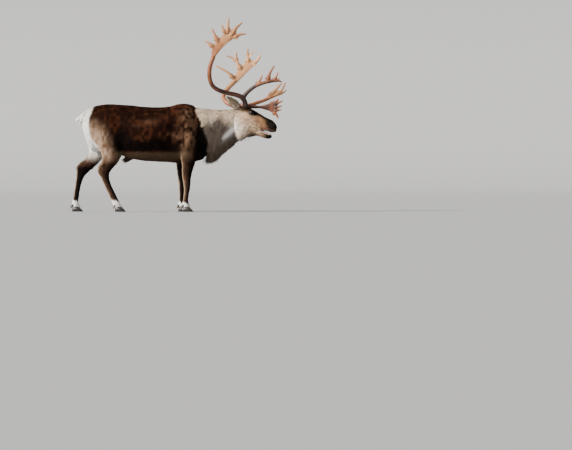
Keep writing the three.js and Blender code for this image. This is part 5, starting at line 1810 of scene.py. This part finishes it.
tongue_points, tongue_faces = ribbed(TONGUE, 36, 48)
dip = 2.2 * np.exp(-((tongue_points[:, 1] / 4) ** 2)) * (tongue_points[:, 2] > 850)
tongue_points[:, 2] -= dip
pink = mix(rgb(168, 98, 92), rgb(96, 56, 54), noise(tongue_points, 12, 51))
mouth_piece("tongue_flesh", [(tongue_points, tongue_faces, pink)], WET_FINISH, "tongue", "tongue")
teeth = []
for n in range(8):
    angle = math.radians(-70 + 20 * n)
    points, triangles = tooth([1020 + 14 * math.cos(angle), 17 * math.sin(angle), 838])
    teeth.append((points, triangles, np.tile(rgb(214, 200, 170), (len(points), 1))))
mouth_piece("lower_teeth", teeth, WET_FINISH, "tongue")

# %% [markdown]
# ## Studio
#
# A pale floor that curves up into a wall gives a backdrop without a corner. One wide soft lamp stands
# behind the tail and above, where the low sun was, and wider, dimmer ones fill in from the other sides.

# %% Floor, backdrop and lights
NEAR_EDGE, FAR_EDGE, CURVE, WALL_TOP = -60, 50, 8.0, 50  # metres, with the wall beyond every camera
bend = np.linspace(0, np.pi / 2, 24)
run = [np.linspace(NEAR_EDGE, FAR_EDGE, 30), FAR_EDGE + CURVE * np.sin(bend), np.full(8, FAR_EDGE + CURVE)]
rise = [np.zeros(30), CURVE - CURVE * np.cos(bend), np.linspace(CURVE + 1, WALL_TOP, 8)]
run, rise = np.concatenate(run), np.concatenate(rise)
sweep_x = np.linspace(-72, 76, 12)
grid_x, grid_n = np.meshgrid(sweep_x, np.arange(len(run)), indexing="ij")
sweep_points = np.stack([grid_x, run[grid_n], rise[grid_n]], -1).reshape(-1, 3)
i, j = np.meshgrid(np.arange(len(sweep_x) - 1), np.arange(len(run) - 1), indexing="ij")
corner = i * len(run) + j
quads = np.stack([corner, corner + len(run), corner + len(run) + 1, corner + 1], -1).reshape(-1, 4)
backdrop = mesh_object("studio_sweep", sweep_points, quads)
paper = bpy.data.materials.new("studio paper")
paper.use_nodes = True
paper_shader = paper.node_tree.nodes["Principled BSDF"]
paper_shader.inputs["Base Color"].default_value = (0.36, 0.37, 0.385, 1)
paper_shader.inputs["Roughness"].default_value = 0.9
backdrop.data.materials.append(paper)


def lamp(name, place, aim, size, power, colour=(1, 1, 1)):
    """A far lamp, size radians wide: its light is even over the whole floor and its shadows soft."""
    light = bpy.data.lights.new(name, "SUN")
    light.angle = size
    light.energy = power
    light.color = colour
    obj = bpy.data.objects.new(name, light)
    obj.location = place
    obj.rotation_euler = (Vector(aim) - Vector(place)).to_track_quat("-Z", "Y").to_euler()
    bpy.context.scene.collection.objects.link(obj)
    return obj


key = lamp("key", (-8.0, -4.6, 6.0), (0, 0, 1.0), 0.3, 9.8, (1.0, 0.94, 0.86))
fill = lamp("fill", (5.0, -9.0, 4.4), (0, 0, 0.9), 1.2, 0.6, (0.93, 0.96, 1.0))
back = lamp("back", (2.0, 6.5, 6.5), (0, 0, 1.2), 0.9, 0.5)
world = bpy.data.worlds.new("studio air")
world.use_nodes = True
air = world.node_tree.nodes["Background"]
air.inputs["Color"].default_value = (0.92, 0.95, 1.0, 1)
air.inputs["Strength"].default_value = 0.3
bpy.context.scene.world = world
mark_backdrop(backdrop, key, fill, back)

# %% [markdown]
# The photograph flattens the animal, as a long lens does. A camera that stands far away and looks through
# a narrow view repeats this, so near and far legs keep their places side by side.

# %% The camera, 40 m off with a long lens as in the photograph
VIEW_MIDDLE = placed(np.array([[1191.0, 0.0, -146.0]]))[0]  # the place at the middle of the photograph
DISTANCE = 40.0
FRAME_WIDTH = 6.292  # 572 pixels of 11 mm
LENS_HEIGHT = 0.4
camera_data = bpy.data.cameras.new("camera")
camera_data.sensor_width = 36
camera_data.lens = 36 * DISTANCE / FRAME_WIDTH
camera_data.clip_end = 300
camera = bpy.data.objects.new("camera", camera_data)
camera.location = (VIEW_MIDDLE[0], VIEW_MIDDLE[1] - DISTANCE, LENS_HEIGHT)
tip = math.atan2(LENS_HEIGHT - VIEW_MIDDLE[2], DISTANCE)
camera.rotation_euler = (math.pi / 2 - tip, 0, 0)
bpy.context.scene.collection.objects.link(camera)
bpy.context.scene.camera = camera
print("lens", round(camera_data.lens, 1), "mm, tipped down", round(math.degrees(tip), 2), "degrees")

# %% [markdown]
# Last, the box of the solids and the box of everything visible are set side by side, and the visible one is
# printed. They show how far the coat goes past the solids.

# %% Sizes, and done
look_low, look_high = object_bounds()
sizes = {"cad": [list(cad_low), list(cad_high)], "visual": [list(look_low), list(look_high)]}
sizes = {key: [[float(v) for v in corner] for corner in box] for key, box in sizes.items()}
print("visual box", [round(v, 3) for v in (*look_low, *look_high)])
